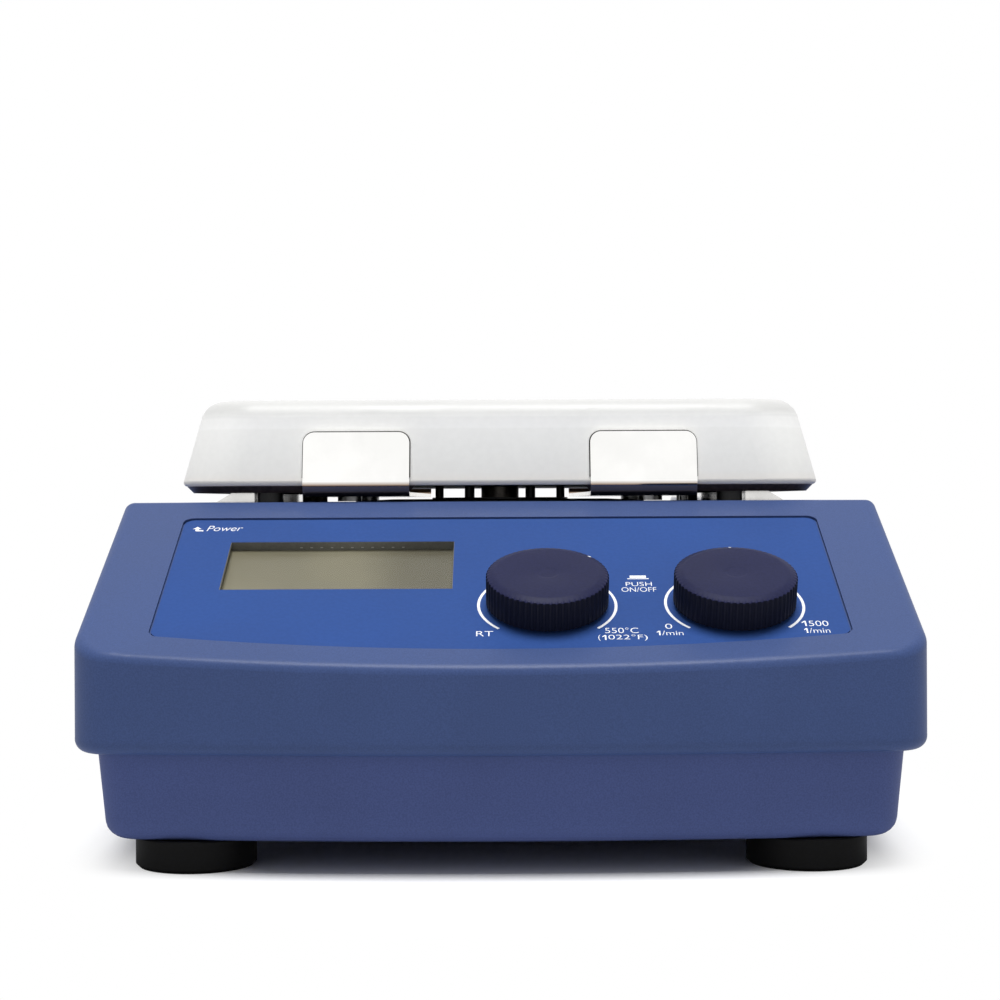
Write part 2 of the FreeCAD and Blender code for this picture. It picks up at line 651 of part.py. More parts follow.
def upper_housing():
    """The cast cover: deck, sloped panel, skirt, rear bay and inner bosses."""
    shell = plan_body("HousingShell", "0", "skirt_bottom", "deck_top - skirt_bottom", "plan_corner")
    cut_slope(shell, "0")
    low = number("skirt_bottom")
    dress(shell, "Fillet", lambda e: not upright(e) and e.BoundBox.ZMin > low + 0.1, "edge_round")
    dress(shell, "Fillet", level_at(low), "skirt_round")
    cavity = plan_body("HousingCavity", "wall", "skirt_bottom - 1", f"{DECK_UNDER} - skirt_bottom + 1",
                       "plan_corner - wall")
    cut_slope(cavity, "wall")
    lining = rear_block("BayLining", f"{BAY_WIDTH} + 2 * wall", f"{BAY_HEIGHT} + 2 * wall",
                        "bay_depth + wall + 1", BAY_X, f"{BAY_FLOOR} - wall", BAY_Z, "bay_corner + wall")
    hollow = cut("HousingHollow", cavity, [lining])
    bay = rear_block("RearBay", BAY_WIDTH, BAY_HEIGHT, "bay_depth + 1", BAY_X, BAY_FLOOR, BAY_Z,
                     "bay_corner")
    skin = cut("HousingSkin", shell, [hollow, bay])
    whole = fuse("HousingWhole", [skin, housing_bosses(shell)])
    recess = overlay_body("OverlayRecess", "0", "overlay_depth + 1")
    on_slope(recess, out="-overlay_depth")
    bay_wall = f"({BAY_FLOOR} - wall - 1)"
    holes = [recess, window_hole("HousingWindow"), window_seat()] + control_holes("HousingControl")
    holes += deck_holes("Deck", f"({DECK_UNDER} - 1)", "wall + 2", "stud_radius + seat_gap")
    holes.append(rod("RodHole", "rod_barrel + running_gap", "rod_thread_depth + 8", "rod_x", ROD_Y,
                     "(deck_top - rod_thread_depth - 6)"))
    holes.append(box("InletHole", "inlet_width + 2 * seat_gap", "wall + 2", "inlet_height + 2 * seat_gap",
                     "inlet_x", f"{BAY_FLOOR} - wall / 2", "bay_middle - inlet_height / 2 - seat_gap"))
    holes.append(box("SwitchHole", "switch_width - switch_lap + seat_gap / 2", "wall + 2",
                     "switch_height - switch_lap + seat_gap / 2", "switch_x", f"{BAY_FLOOR} - wall / 2",
                     "bay_middle - (switch_height - switch_lap + seat_gap / 2) / 2"))
    holes.append(rear_rod("SensorHole", "sensor_barrel + seat_gap", "wall + 2", "sensor_x", bay_wall,
                          "bay_middle"))
    for i, side in enumerate("-+"):
        x = f"(inlet_x {side} inlet_screw_pitch / 2)"
        holes.append(rear_rod(f"InletScrewHole{i}", "small_bolt_pilot", "wall + 2", x, bay_wall,
                              "bay_middle"))
    for i, (x, y) in enumerate(CASE_SPOTS):
        holes.append(rod(f"CasePilot{i}", "bolt_pilot", "14", x, y, "case_joint - 1"))
    for i, (x, y) in enumerate(BRACKET_SPOTS):
        holes.append(rod(f"BracketPilot{i}", "bolt_pilot", "6", x, y,
                         f"({BRACKET_Z} + bracket_thick - 1)"))
    for i, (x, up) in enumerate(PANEL_SPOTS):
        holes.append(slope_rod(f"PanelPilot{i}", "small_bolt_pilot", x, up, "-board_depth - 1", "-wall - 1"))
    return cut("upper_housing", whole, holes)


def tub_inset_at(height):
    """How far the drafted tub stands in from the cover's plan at a height."""
    return f"(tub_inset + (tub_rim - ({height})) * tan(tub_draft))"


POWER_BOARD_X = "(-power_board_left)"
POWER_BOARD_Y = "(-power_board_front)"
POWER_SPOTS = [(f"({POWER_BOARD_X} {across} (power_board_length / 2 - 5))",
                f"({POWER_BOARD_Y} {along} (power_board_width / 2 - 5))")
               for across in "-+" for along in "-+"]
CASE_SEAT = "(foot_height + 14)"


def base_tub():
    """The tapered lower case with its rim flange, bosses and floor vents."""
    outer = plan_body("TubOuter", tub_inset_at("foot_height"), "foot_height", "tub_rim - foot_height",
                      "tub_corner", "tub_draft")
    dress(outer, "Fillet", level_at(number("foot_height")), "tub_round")
    inner = plan_body("TubInner", f"({tub_inset_at(FLOOR_TOP)} + tub_wall)", FLOOR_TOP,
                      f"tub_rim - {FLOOR_TOP} + 1", "tub_corner - tub_wall", "tub_draft")
    flange = plan_body("TubFlange", "(wall + seat_gap)", "tub_rim - flange_thick", "flange_thick",
                       "plan_corner - wall")
    shell = cut("TubShell", fuse("TubBlock", [outer, flange]), [inner])
    bosses = [rod(f"TubBoss{i}", "6.5", f"case_joint - {FLOOR_TOP} + 1", x, y, f"({FLOOR_TOP} - 1)")
              for i, (x, y) in enumerate(CASE_SPOTS)]
    bosses += [rod(f"FootBoss{i}", "5", "12", x, y, f"({FLOOR_TOP} - 1)")
               for i, (x, y) in enumerate(FOOT_SPOTS)]
    bosses += [rod(f"PowerBoss{i}", "3.2", "power_board_rise + 1", x, y, f"({FLOOR_TOP} - 1)")
               for i, (x, y) in enumerate(POWER_SPOTS)]
    whole = fuse("TubWhole", [shell] + bosses)
    holes = []
    for i, (x, y) in enumerate(CASE_SPOTS):
        holes.append(rod(f"CaseBore{i}", "bolt_hole", "case_joint", x, y, "0"))
        holes.append(rod(f"CaseSeat{i}", "bolt_head + 0.4", CASE_SEAT, x, y, "0"))
    for i, (x, y) in enumerate(FOOT_SPOTS):
        holes.append(rod(f"FootBore{i}", "bolt_pilot", f"{FLOOR_TOP} + 10", x, y, "0"))
    for i, (x, y) in enumerate(POWER_SPOTS):
        holes.append(rod(f"PowerBore{i}", "small_bolt_pilot", "power_board_rise", x, y, f"({FLOOR_TOP} + 1)"))
    for row, y in enumerate(("10", "92")):
        for i in range(-4, 5):
            holes.append(box(f"Vent{row}_{i + 4}", "vent_width", "vent_length", "tub_wall + 2",
                             f"({i} * vent_pitch)", y, "foot_height - 1"))
    return cut("base_tub", whole, holes)


def rubber_feet():
    """Four round feet, each with a seat for its screw."""
    feet = []
    for i, (x, y) in enumerate(FOOT_SPOTS):
        radius = "(foot_diameter / 2)"
        profile = [("5", "0"), (f"{radius} - 1", "0"), (radius, "1"), (radius, "foot_height - 0.3"),
                   (f"{radius} - 0.3", "foot_height"), ("bolt_hole", "foot_height"), ("bolt_hole", "4"),
                   ("5", "4")]
        feet.append(place(turned(f"Foot{i}", profile), x, y))
    return group("rubber_feet", feet)


def case_screws():
    """Long screws that hold the tub to the cover."""
    length = f"case_joint + 12 - {CASE_SEAT}"
    return group("case_screws", [screw(f"CaseScrew{i}", "bolt_head", "bolt_head_height", "bolt_radius",
                                       length, x, y, CASE_SEAT) for i, (x, y) in enumerate(CASE_SPOTS)])


def foot_screws():
    """Screws that hold the feet."""
    length = f"{FLOOR_TOP} + 5"
    return group("foot_screws", [screw(f"FootScrew{i}", "bolt_head", "bolt_head_height", "bolt_radius",
                                       length, x, y, "4") for i, (x, y) in enumerate(FOOT_SPOTS)])


def panel_overlay():
    """The front foil in its recess, open at the display and the controls."""
    sheet_body = overlay_body("OverlayFoil", "overlay_gap", "overlay_thick")
    on_slope(sheet_body, out="-overlay_depth")
    return cut("panel_overlay", sheet_body, [window_hole("FoilWindow")] + control_holes("FoilControl"))


def display_window():
    """The clear window in its seat behind the panel."""
    return slope_box("display_window", "window_left - window_lap", "window_right + window_lap",
                     "window_low - window_lap", "window_high + window_lap",
                     "-wall + window_rebate - window_thick", "-wall + window_rebate")


def lcd_module():
    """The display behind the window, standing on the control board, its glass set in a frame."""
    top = "-wall + window_rebate - window_thick - running_gap"
    block = slope_box("LcdBlock", "window_left - 3", "window_right + 3", "window_low - 3",
                      "window_high + 3", "-board_depth", top)
    glass = slope_box("LcdGlass", "window_left - 0.5", "window_right + 0.5", "window_low - 0.5",
                      "window_high + 0.5", f"({top}) - 0.3", "0")
    return cut("lcd_module", block, [glass])


def control_board():
    """The board that carries the display and the controls."""
    plate = slope_box("ControlPlate", "-board_half", "board_half", "board_low", "board_high",
                      "-board_depth - board_thick", "-board_depth")
    holes = [slope_rod(f"ControlPlateHole{i}", "small_bolt_hole", x, up, "-board_depth - board_thick - 1",
                       "0")
             for i, (x, up) in enumerate(PANEL_SPOTS)]
    return cut("control_board", plate, holes)


def board_screws():
    """Screws that hold the control board to the bosses behind the panel."""
    screws = []
    under = "(-board_depth - board_thick)"
    for i, (x, up) in enumerate(PANEL_SPOTS):
        head = slope_rod(f"BoardScrewHead{i}", "small_bolt_head", x, up,
                         f"{under} - small_bolt_head_height", under)
        stem = slope_rod(f"BoardScrewStem{i}", "small_bolt_radius", x, up, under, "-wall - 2")
        screws.append(fuse(f"BoardScrew{i}", [head, stem]))
    return group("board_screws", screws)


SHAFT_END = "(-board_depth + 4)"
SHAFT_STOP = "(-board_depth + 4 - push_travel - 0.2)"
PLUNGER_FLOOR = "(-board_depth + 1.2)"


def encoder(control, x):
    """A rotary control: block on the board, threaded bush, and the bores for shaft and plunger."""
    block = slope_box(control + "EncoderBlock", f"{x} - 7", f"{x} + 7", "knob_up - 7", "knob_up + 7",
                      "-board_depth", "-wall - seat_gap")
    bush = slope_rod(control + "Bush", "bush_radius", x, "knob_up", "-wall - 1", "2.2")
    shaft = slope_rod(control + "ShaftBore", "shaft_radius + running_gap", x, "knob_up", SHAFT_STOP, "3")
    stem = slope_rod(control + "PlungerBore", "1.9", x, "knob_up", PLUNGER_FLOOR, "0")
    return cut(control + "_encoder", fuse(control + "EncoderWhole", [block, bush]), [shaft, stem])


def plunger(control, x):
    """The switch plunger under a control's shaft; it travels with the knob when pressed."""
    return slope_rod(control + "_plunger", "1.6", x, "knob_up", f"{PLUNGER_FLOOR} + push_travel + 0.1",
                     f"{SHAFT_END} - running_gap")


def control_shaft(control, x):
    """The shaft that carries a knob."""
    return slope_rod(control + "_shaft", "shaft_radius", x, "knob_up", SHAFT_END, "knob_top - 1.3")


def knob(control, x):
    """A fluted knob, hollow underneath, with a smooth bevel and a shallow dimple on top."""
    name = control + "_knob"
    inner = "(knob_radius - knob_skirt)"
    bore = "(shaft_radius + running_gap)"
    profile = [(inner, "knob_gap"), ("knob_radius", "knob_gap"),
               ("knob_radius", "knob_top - knob_bevel_drop"),
               ("knob_radius - knob_bevel", "knob_top"), ("3.4", "knob_top"),
               ("2.6", "knob_top - knob_dimple"), ("0", "knob_top - knob_dimple"),
               ("0", "knob_top - 1.2"), (bore, "knob_top - 1.2"),
               (bore, "3.2"), ("6", "3.2"), ("6", "5.2"), (inner, "5.2")]
    body = turned(name, profile)
    flute = body.newObject("Sketcher::SketchObject", name + "Flute")
    plane = next(f for f in body.Origin.OriginFeatures if f.Role == "XY_Plane")
    flute.AttachmentSupport = (plane, "")
    flute.MapMode = "FlatFace"
    reach = "(knob_radius + knurl_radius * 0.4)"
    spot = FreeCAD.Vector(number(reach), 0, 0)
    flute.addGeometry(Part.Circle(spot, Z_AXIS, number("knurl_radius")))
    for rule, expression in ((Sketcher.Constraint("DistanceX", -1, 1, 0, 3, spot.x), reach),
                             (Sketcher.Constraint("DistanceY", -1, 1, 0, 3, 0), "0"),
                             (Sketcher.Constraint("Radius", 0, number("knurl_radius")), "knurl_radius")):
        index = flute.addConstraint(rule)
        tie(flute, f"Constraints[{index}]", expression)
    groove = pocket(body, flute, "knob_top + 1", other_way=True)
    ring = body.newObject("PartDesign::PolarPattern", name + "Flutes")
    ring.Originals = [groove]
    ring.Axis = (flute, ["N_Axis"])
    ring.Angle = 360
    tie(ring, "Occurrences", "knurl_count")
    body.Tip = ring
    doc.recompute()
    return on_slope(body, x, "knob_up")


def encoder_nuts():
    """Nuts that clamp the controls to the panel, hidden in the knobs."""
    nuts = []
    for control, x in CONTROLS:
        blank = doc.addObject("Part::Prism", control + "NutBlock")
        blank.Polygon = 6
        tie(blank, "Circumradius", "bush_radius + 2.4")
        tie(blank, "Height", "2")
        on_slope(blank, x, "knob_up", "-overlay_depth + overlay_thick")
        hole = slope_rod(control + "NutHole", "bush_radius + running_gap", x, "knob_up", "-1", "3")
        nuts.append(cut(control + "Nut", blank, [hole]))
    return group("encoder_nuts", nuts)


def plate_block(name, side, height, corner, top_round):
    """A square block with slanted sides and a rounded top, on the hot plate's rim plane."""
    body = new_body(name)
    pad(body, square(body, name + "Square", side, PLATE_Z), height, taper="-plate_draft")
    dress(body, "Fillet", upright, corner)
    dress(body, "Fillet", level_at(number(f"{PLATE_Z} + {height}")), top_round)
    return body


def top_plate():
    """The white hot plate: an inverted square tray."""
    outer = plate_block("PlateOuter", "plate_side", "plate_height", "plate_corner", "plate_round")
    dress(outer, "Fillet", level_at(number(PLATE_Z)), "plate_rim_round")
    inner = plate_block("PlateInner", "plate_side - 2 * plate_wall", "(plate_height - plate_wall)",
                        "plate_corner - plate_wall", "plate_round - plate_wall")
    for body in (outer, inner):
        place(body, y=PLATE_Y)
    return cut("top_plate", outer, [inner])


def insulation_board():
    """The ceramic fibre board under the heater, standing on the posts."""
    board = box("InsulationBlock", "insulation_side", "insulation_side", "insulation_thick", "0", PLATE_Y,
                BOARD_UNDER_HEATER)
    rounded = corners("InsulationRounded", board, upright, "plate_corner - plate_wall / 2")
    holes = deck_holes("Insulation", f"({BOARD_UNDER_HEATER} - 1)", "insulation_thick + 2", "1")
    return cut("insulation_board", rounded, [holes[5], holes[6], holes[7]])


def heater_element():
    """Ring windings under the hot plate, joined by a bar, with two tabs over the terminals."""
    pieces = []
    for i in range(int(number("heater_turns"))):
        radius = f"(heater_first + {i} * heater_pitch)"
        outer = rod(f"HeaterOuter{i}", f"{radius} + 1.5", "heater_thick", "0", PLATE_Y, HEATER_Z)
        inner = rod(f"HeaterInner{i}", f"{radius} - 1.5", "heater_thick", "0", PLATE_Y, HEATER_Z)
        pieces.append(cut(f"HeaterRing{i}", outer, [inner]))
    span = "((heater_turns - 1) * heater_pitch)"
    pieces.append(box("HeaterBar", "3", span, "heater_thick", "0",
                      f"({PLATE_Y} + heater_first + {span} / 2)", HEATER_Z))
    reach = "(heater_first + (heater_turns - 1) * heater_pitch)"
    for i, way in enumerate("-+"):
        pieces.append(box(f"HeaterTab{i}", f"{reach} - probe_x + 3", "3", "heater_thick",
                          f"(-({reach} + probe_x - 3) / 2)", f"({PLATE_Y} {way} terminal_y)", HEATER_Z))
    return fuse("heater_element", pieces)


def trapezoid_bar(name, foot, top, low, high, length, shift="0"):
    """A bar of trapezoid section that runs from front to rear under the plate's middle, or behind it."""
    body = new_body(name)
    points = [(f"-({foot}) / 2", low), (f"({foot}) / 2", low), (f"({top}) / 2", high),
              (f"-({top}) / 2", high)]
    pad(body, outline(body, name + "Section", "XZ_Plane", points), length, both_ways=True)
    return place(body, y=f"({PLATE_Y} + {shift})")


def plate_pan():
    """The pan that closes the hot plate from below, with a raised air channel along its middle."""
    outer = new_body("PanOuter")
    pad(outer, square(outer, "PanSquare", "plate_side - 2 * pan_inset", PAN_Z), "pan_drop")
    dress(outer, "Fillet", upright, "plate_corner - pan_inset")
    dress(outer, "Chamfer", level_at(number(PAN_Z)), "pan_bevel")
    inner = new_body("PanInner")
    inner_side = "(plate_side - 2 * pan_inset - 2 * pan_rim)"
    pad(inner, square(inner, "PanInnerSquare", inner_side, f"({PAN_Z} + pan_sheet)"), "pan_drop")
    dress(inner, "Fillet", upright, "plate_corner - pan_inset - pan_rim")
    for body in (outer, inner):
        place(body, y=PLATE_Y)
    tray = cut("PanTray", outer, [inner])
    over = "channel_width + 2 * pan_sheet"
    roof = trapezoid_bar("ChannelRoof", over, over, f"({PAN_Z} + pan_sheet / 2)", CHANNEL_OVER,
                         "(plate_side - 2 * plate_wall - 2)")
    mouth = trapezoid_bar("ChannelMouth", "channel_foot", "channel_top", PAN_Z, CHANNEL_ROOF,
                          "plate_side + 2")
    air = trapezoid_bar("ChannelAir", "channel_width", "channel_width", PAN_Z, CHANNEL_ROOF,
                        "plate_side", "(pan_inset + pan_rim)")
    holes = deck_holes("Pan", f"({PAN_Z} - 1)", "pan_drop + 4", "stud_radius + 0.6 + seat_gap")
    for i, (x, y) in enumerate(STRAP_SPOTS):
        holes.append(rod(f"PanStrapHole{i}", "bolt_hole", "4", x, y, f"({PAN_Z} - 1)"))
    return cut("plate_pan", fuse("PanWhole", [tray, roof]), [mouth, air] + holes)


def plate_strap(name, side):
    """A steel strap under the pan; its upturned ends clip the hot plate at front and rear."""
    body = new_body(name + "Sheet")
    low = f"({PAN_Z} - strap_thick)"
    floor = PAN_Z
    high = f"({low} + strap_top)"

    def reach(height, outside):
        sheet_run = " + strap_thick / cos(plate_draft)" if outside else ""
        return f"(plate_side / 2 + seat_gap{sheet_run} - ({height} - {PLATE_Z}) * tan(plate_draft))"

    right = [(reach(low, True), low), (reach(high, True), high), (reach(high, False), high),
             (reach(floor, False), floor)]
    left = [("-" + y, z) for y, z in reversed(right)]
    pad(body, outline(body, name + "Section", "YZ_Plane", right + left), "strap_width", both_ways=True)
    far = number("plate_side") / 2 - 8

    def bend_at(height):
        return lambda e: level_at(height)(e) and e.BoundBox.XLength > 5 and abs(e.BoundBox.YMin) > far

    dress(body, "Fillet", bend_at(number(low)), "strap_bend + strap_thick")
    dress(body, "Fillet", bend_at(number(floor)), "strap_bend")
    end = number(high)
    dress(body, "Fillet", lambda e: level_at(end)(e) and e.BoundBox.XLength < 0.01, "strap_corner")
    place(body, f"{side}strap_x", PLATE_Y)
    holes = [rod(f"{name}Hole{i}", "bolt_hole", "4", x, y, f"({low} - 1)")
             for i, (x, y) in enumerate(STRAP_SPOTS) if x.startswith("-") == (side == "-")]
    return cut(name, body, holes)


def strap_screws():
    """Low round heads under the straps, with their shanks up through the pan."""
    return group("strap_screws", [screw(f"StrapScrew{i}", "low_head", "low_head_height", "bolt_radius",
                                        "strap_thick + pan_sheet + 3.4", x, y,
                                        f"({PAN_Z} - strap_thick)")
                                  for i, (x, y) in enumerate(STRAP_SPOTS)])


def strap_nuts():
    """Nuts on the pan's floor for the strap screws."""
    return group("strap_nuts", [nut(f"StrapNut{i}", "nut_across", "2.6", "bolt_pilot", x, y,
                                    f"({PAN_Z} + pan_sheet)")
                                for i, (x, y) in enumerate(STRAP_SPOTS)])


def support_posts():
    """Posts from the deck to the pan, with studs down through the deck and up to the insulation."""
    posts = []
    for i, (x, y) in enumerate(POST_SPOTS):
        column = rod(f"PostColumn{i}", "post_radius", f"{PAN_Z} - deck_top", x, y, "deck_top")
        upper = rod(f"PostUpper{i}", "stud_radius + 0.6", f"{BOARD_UNDER_HEATER} - {PAN_Z}", x, y, PAN_Z)
        stud = rod(f"PostStud{i}", "stud_radius", "wall + 6", x, y, f"({DECK_UNDER} - 6)")
        posts.append(fuse(f"Post{i}", [column, upper, stud]))
    return group("support_posts", posts)


def post_nuts():
    """Nuts under the deck for the posts' studs."""
    return group("post_nuts", [nut(f"PostNut{i}", "nut_across", "3", "stud_radius + running_gap", x, y,
                                   f"({DECK_UNDER} - 3)") for i, (x, y) in enumerate(POST_SPOTS)])


def rail_section(name, sign, inset, length):
    """A bar of a side rail's section; inset draws it in by the sheet and opens its foot."""
    points = [(f"rail_inner + {inset}", "deck_top"), (f"rail_foot - 1.6 * {inset}", "deck_top"),
              (f"rail_top - 1.2 * {inset}", f"{PAN_Z} - {inset}"),
              (f"rail_inner + {inset}", f"{PAN_Z} - {inset}")]
    if sign == "-":
        points = [(f"-({x})", z) for x, z in reversed(points)]
    body = new_body(name)
    pad(body, outline(body, name + "Section", "XZ_Plane", points), length, both_ways=True)
    return place(body, y=PLATE_Y)


def side_rail(name, sign):
    """A folded rail with a slanted outer wall, between the deck and the pan."""
    outer = rail_section(name + "Outer", sign, "0", "rail_length")
    inner = rail_section(name + "Inner", sign, "rail_sheet", "rail_length - 2 * rail_sheet")
    return cut(name, outer, [inner])


def heat_deflector():
    """The shallow dished disc on the deck."""
    profile = [("drive_hole", "0"), ("deflector_radius", "0"), ("deflector_radius", "0.25"),
               ("deflector_flat", "deflector_rise"), ("drive_hole", "deflector_rise")]
    return place(turned("heat_deflector", profile), y=PLATE_Y, z="deck_top")


def spacer_cage():
    """A ring with upright pins between the deflector and the pan's channel."""
    base = "(deck_top + deflector_rise)"
    outer = rod("CageOuter", "cage_radius + 2.4", "cage_ring", "0", PLATE_Y, base)
    inner = rod("CageInner", "cage_radius - 2.4", "cage_ring", "0", PLATE_Y, base)
    pieces = [cut("CageRing", outer, [inner])]
    for i in range(int(number("cage_pins"))):
        angle = f"({i} * 360 / cage_pins)"
        pieces.append(rod(f"CagePin{i}", "cage_pin_radius", f"{CHANNEL_ROOF} - {base}",
                          f"(cage_radius * cos{angle})", f"({PLATE_Y} + cage_radius * sin{angle})", base))
    return fuse("spacer_cage", pieces)


MOTOR_Z = f"({BRACKET_Z} - motor_height)"


def drive_motor():
    """The motor under its bracket, with a spigot through the bracket."""
    bore = "(spindle_radius + running_gap)"
    profile = [("0", "0"), ("motor_radius - 2", "0"), ("motor_radius", "2"),
               ("motor_radius", "motor_height - 2"), ("motor_radius - 2", "motor_height"),
               ("11", "motor_height"), ("11", "motor_height + bracket_thick"),
               (bore, "motor_height + bracket_thick"), (bore, "6"), ("0", "6")]
    return place(turned("drive_motor", profile), y=PLATE_Y, z=MOTOR_Z)


def motor_bracket():
    """The plate that hangs the motor from the deck's bosses."""
    plate = box("BracketPlate", "2 * bracket_half", "2 * bracket_half", "bracket_thick", "0", PLATE_Y,
                BRACKET_Z)
    rounded = corners("BracketRounded", plate, upright, "4")
    holes = [rod("BracketSpigotHole", "11 + running_gap", "bracket_thick + 2", "0", PLATE_Y,
                 f"({BRACKET_Z} - 1)")]
    holes += [rod(f"BracketHole{i}", "bolt_hole", "bracket_thick + 2", x, y, f"({BRACKET_Z} - 1)")
              for i, (x, y) in enumerate(BRACKET_SPOTS)]
    return cut("motor_bracket", rounded, holes)


def bracket_screws():
    """Screws that hold the motor bracket to the deck's bosses."""
    return group("bracket_screws", [screw(f"BracketScrew{i}", "bolt_head", "bolt_head_height",
                                          "bolt_radius", "bracket_thick + 4", x, y, BRACKET_Z)
                                    for i, (x, y) in enumerate(BRACKET_SPOTS)])


def drive_shaft():
    """The motor's shaft with the thick shoulder that shows under the hot plate."""
    low = f"({MOTOR_Z} + 6.3)"
    step = f"({DECK_UNDER} + 0.6)"
    top = f"({YOKE_Z} + yoke_thick)"
    profile = [("0", low), ("spindle_radius", low), ("spindle_radius", step), ("hub_radius", step),
               ("hub_radius", YOKE_Z), ("spindle_radius", YOKE_Z), ("spindle_radius", top), ("0", top)]
    return place(turned("drive_shaft", profile), y=PLATE_Y)


def magnet_yoke():
    """The steel bar that carries the magnets."""
    bar = box("YokeBar", "yoke_length", "yoke_width", "yoke_thick", "0", PLATE_Y, YOKE_Z)
    rounded = corners("YokeRounded", bar, upright, "6")
    hole = rod("YokeHole", "spindle_radius + running_gap", "yoke_thick + 2", "0", PLATE_Y,
               f"({YOKE_Z} - 1)")
    return cut("magnet_yoke", rounded, [hole])


def drive_magnets():
    """Two block magnets on the yoke."""
    reach = "(yoke_length / 2 - magnet_length / 2 - 1)"
    blocks = [box(f"Magnet{i}", "magnet_length", "yoke_width - 2", "magnet_height", side + reach, PLATE_Y,
                  f"({YOKE_Z} + yoke_thick)") for i, side in enumerate(("-", ""))]
    return group("drive_magnets", [corners(f"MagnetRounded{i}", block, upright, "2.5")
                                   for i, block in enumerate(blocks)])


def temperature_probe():
    """The probe that touches the hot plate from below."""
    return rod("temperature_probe", "probe_radius", f"{PLATE_UNDER} - deck_top + 12", "probe_x", PLATE_Y,
               "(deck_top - 12)")


def heater_terminals():
    """Ceramic terminals from the heater down through the deck."""
    return group("heater_terminals", [rod(f"Terminal{i}", "terminal_radius", f"{HEATER_Z} - deck_top + 10",
                                          "-probe_x", f"({PLATE_Y} {way} terminal_y)", "(deck_top - 10)")
                                      for i, way in enumerate("-+")])


POWER_BOARD_Z = f"({FLOOR_TOP} + power_board_rise)"


def power_board():
    """The power board with its capacitor, relay and terminal block."""
    over = f"({POWER_BOARD_Z} + board_thick)"
    plate = box("PowerPlate", "power_board_length", "power_board_width", "board_thick", POWER_BOARD_X,
                POWER_BOARD_Y, POWER_BOARD_Z)
    left = f"({POWER_BOARD_X} - power_board_length / 4)"
    right = f"({POWER_BOARD_X} + power_board_length / 4)"
    front = f"({POWER_BOARD_Y} - power_board_width / 4)"
    rear = f"({POWER_BOARD_Y} + power_board_width / 4)"
    parts = [plate, rod("Capacitor", "capacitor_radius", "capacitor_height", left, rear, over),
             box("Relay", "relay_side", "relay_side", "relay_height", right, rear, over),
             box("TerminalBlock", "terminal_block_length", "terminal_block_height",
                 "terminal_block_height", POWER_BOARD_X, front, over)]
    holes = [rod(f"PowerPlateHole{i}", "small_bolt_hole", "4", x, y, f"({POWER_BOARD_Z} - 1)")
             for i, (x, y) in enumerate(POWER_SPOTS)]
    return cut("power_board", fuse("PowerWhole", parts), holes)


def power_board_screws():
    """Screws that hold the power board to the tub."""
    return group("power_board_screws", [screw(f"PowerScrew{i}", "small_bolt_head",
                                              "small_bolt_head_height", "small_bolt_radius",
                                              "power_board_rise", x, y,
                                              f"({POWER_BOARD_Z} + board_thick)", up=False)
                                        for i, (x, y) in enumerate(POWER_SPOTS)])


def transformer():
    """The low-voltage transformer on the tub's floor."""
    x = f"({HALF_WIDTH} - transformer_side)"
    y = "(-transformer_front)"
    core = box("TransformerCore", "core_length", "core_width", "core_height", x, y, FLOOR_TOP)
    coil = box("TransformerCoil", "coil_length", "core_length", "core_height - 2 * coil_rise", x, y,
               f"({FLOOR_TOP} + coil_rise)")
    return fuse("transformer", [core, coil])


PINS = [("-pin_pitch", "-2"), ("0", "2"), ("pin_pitch", "-2")]


def inlet_pin_blocks(name):
    """The three contact blades of the inlet, with tails behind its body."""
    rear = f"({FACE_Y} - pin_short)"
    front = f"({BAY_FLOOR} - inlet_depth - 6)"
    return [box(name + str(i), "pin_wide", f"{rear} - {front}", "pin_tall", f"inlet_x + {x}",
                f"({rear} + {front}) / 2", f"bay_middle + mouth_up + ({up}) - pin_tall / 2")
            for i, (x, up) in enumerate(PINS)]


def power_inlet():
    """The mains inlet: flange, body, keyed recess and the slot of the fuse drawer."""
    block = box("InletBody", "inlet_width", "inlet_depth + 1", "inlet_height", "inlet_x",
                f"{BAY_FLOOR} - inlet_depth / 2 + 0.5", "bay_middle - inlet_height / 2")
    flange = rear_block("InletFlange", "inlet_flange_width", "inlet_flange_height", "inlet_flange_thick",
                        "inlet_x", BAY_FLOOR, "bay_middle", "4")
    mouth = new_body("InletMouth")
    half = "(mouth_width / 2)"
    low = "(-mouth_height / 2)"
    high = "(mouth_height / 2)"
    points = [("-" + half, low), (half, low), (half, f"{high} - mouth_cut"), (f"{half} - mouth_cut", high),
              (f"-({half} - mouth_cut)", high), ("-" + half, f"{high} - mouth_cut")]
    pad(mouth, outline(mouth, "InletMouthSection", "XZ_Plane", points), "mouth_depth + 1")
    place(mouth, "inlet_x", f"({FACE_Y} + 1)", "bay_middle + mouth_up")
    slot = box("DrawerSlot", "drawer_width + 2 * seat_gap", "drawer_depth + 1.5",
               "drawer_height + 2 * seat_gap", "inlet_x", f"{FACE_Y} - drawer_depth / 2 + 0.25",
               "bay_middle - drawer_down - drawer_height / 2 - seat_gap")
    holes = [rear_rod(f"InletEar{i}", "small_bolt_hole", "inlet_flange_thick + 2",
                      f"(inlet_x {side} inlet_screw_pitch / 2)", f"({BAY_FLOOR} - 1)", "bay_middle")
             for i, side in enumerate("-+")]
    return cut("power_inlet", fuse("InletWhole", [block, flange]),
               [mouth, slot] + holes + inlet_pin_blocks("InletPinSlot"))


def inlet_pins():
    """The contact blades of the inlet."""
    return group("inlet_pins", inlet_pin_blocks("InletPin"))


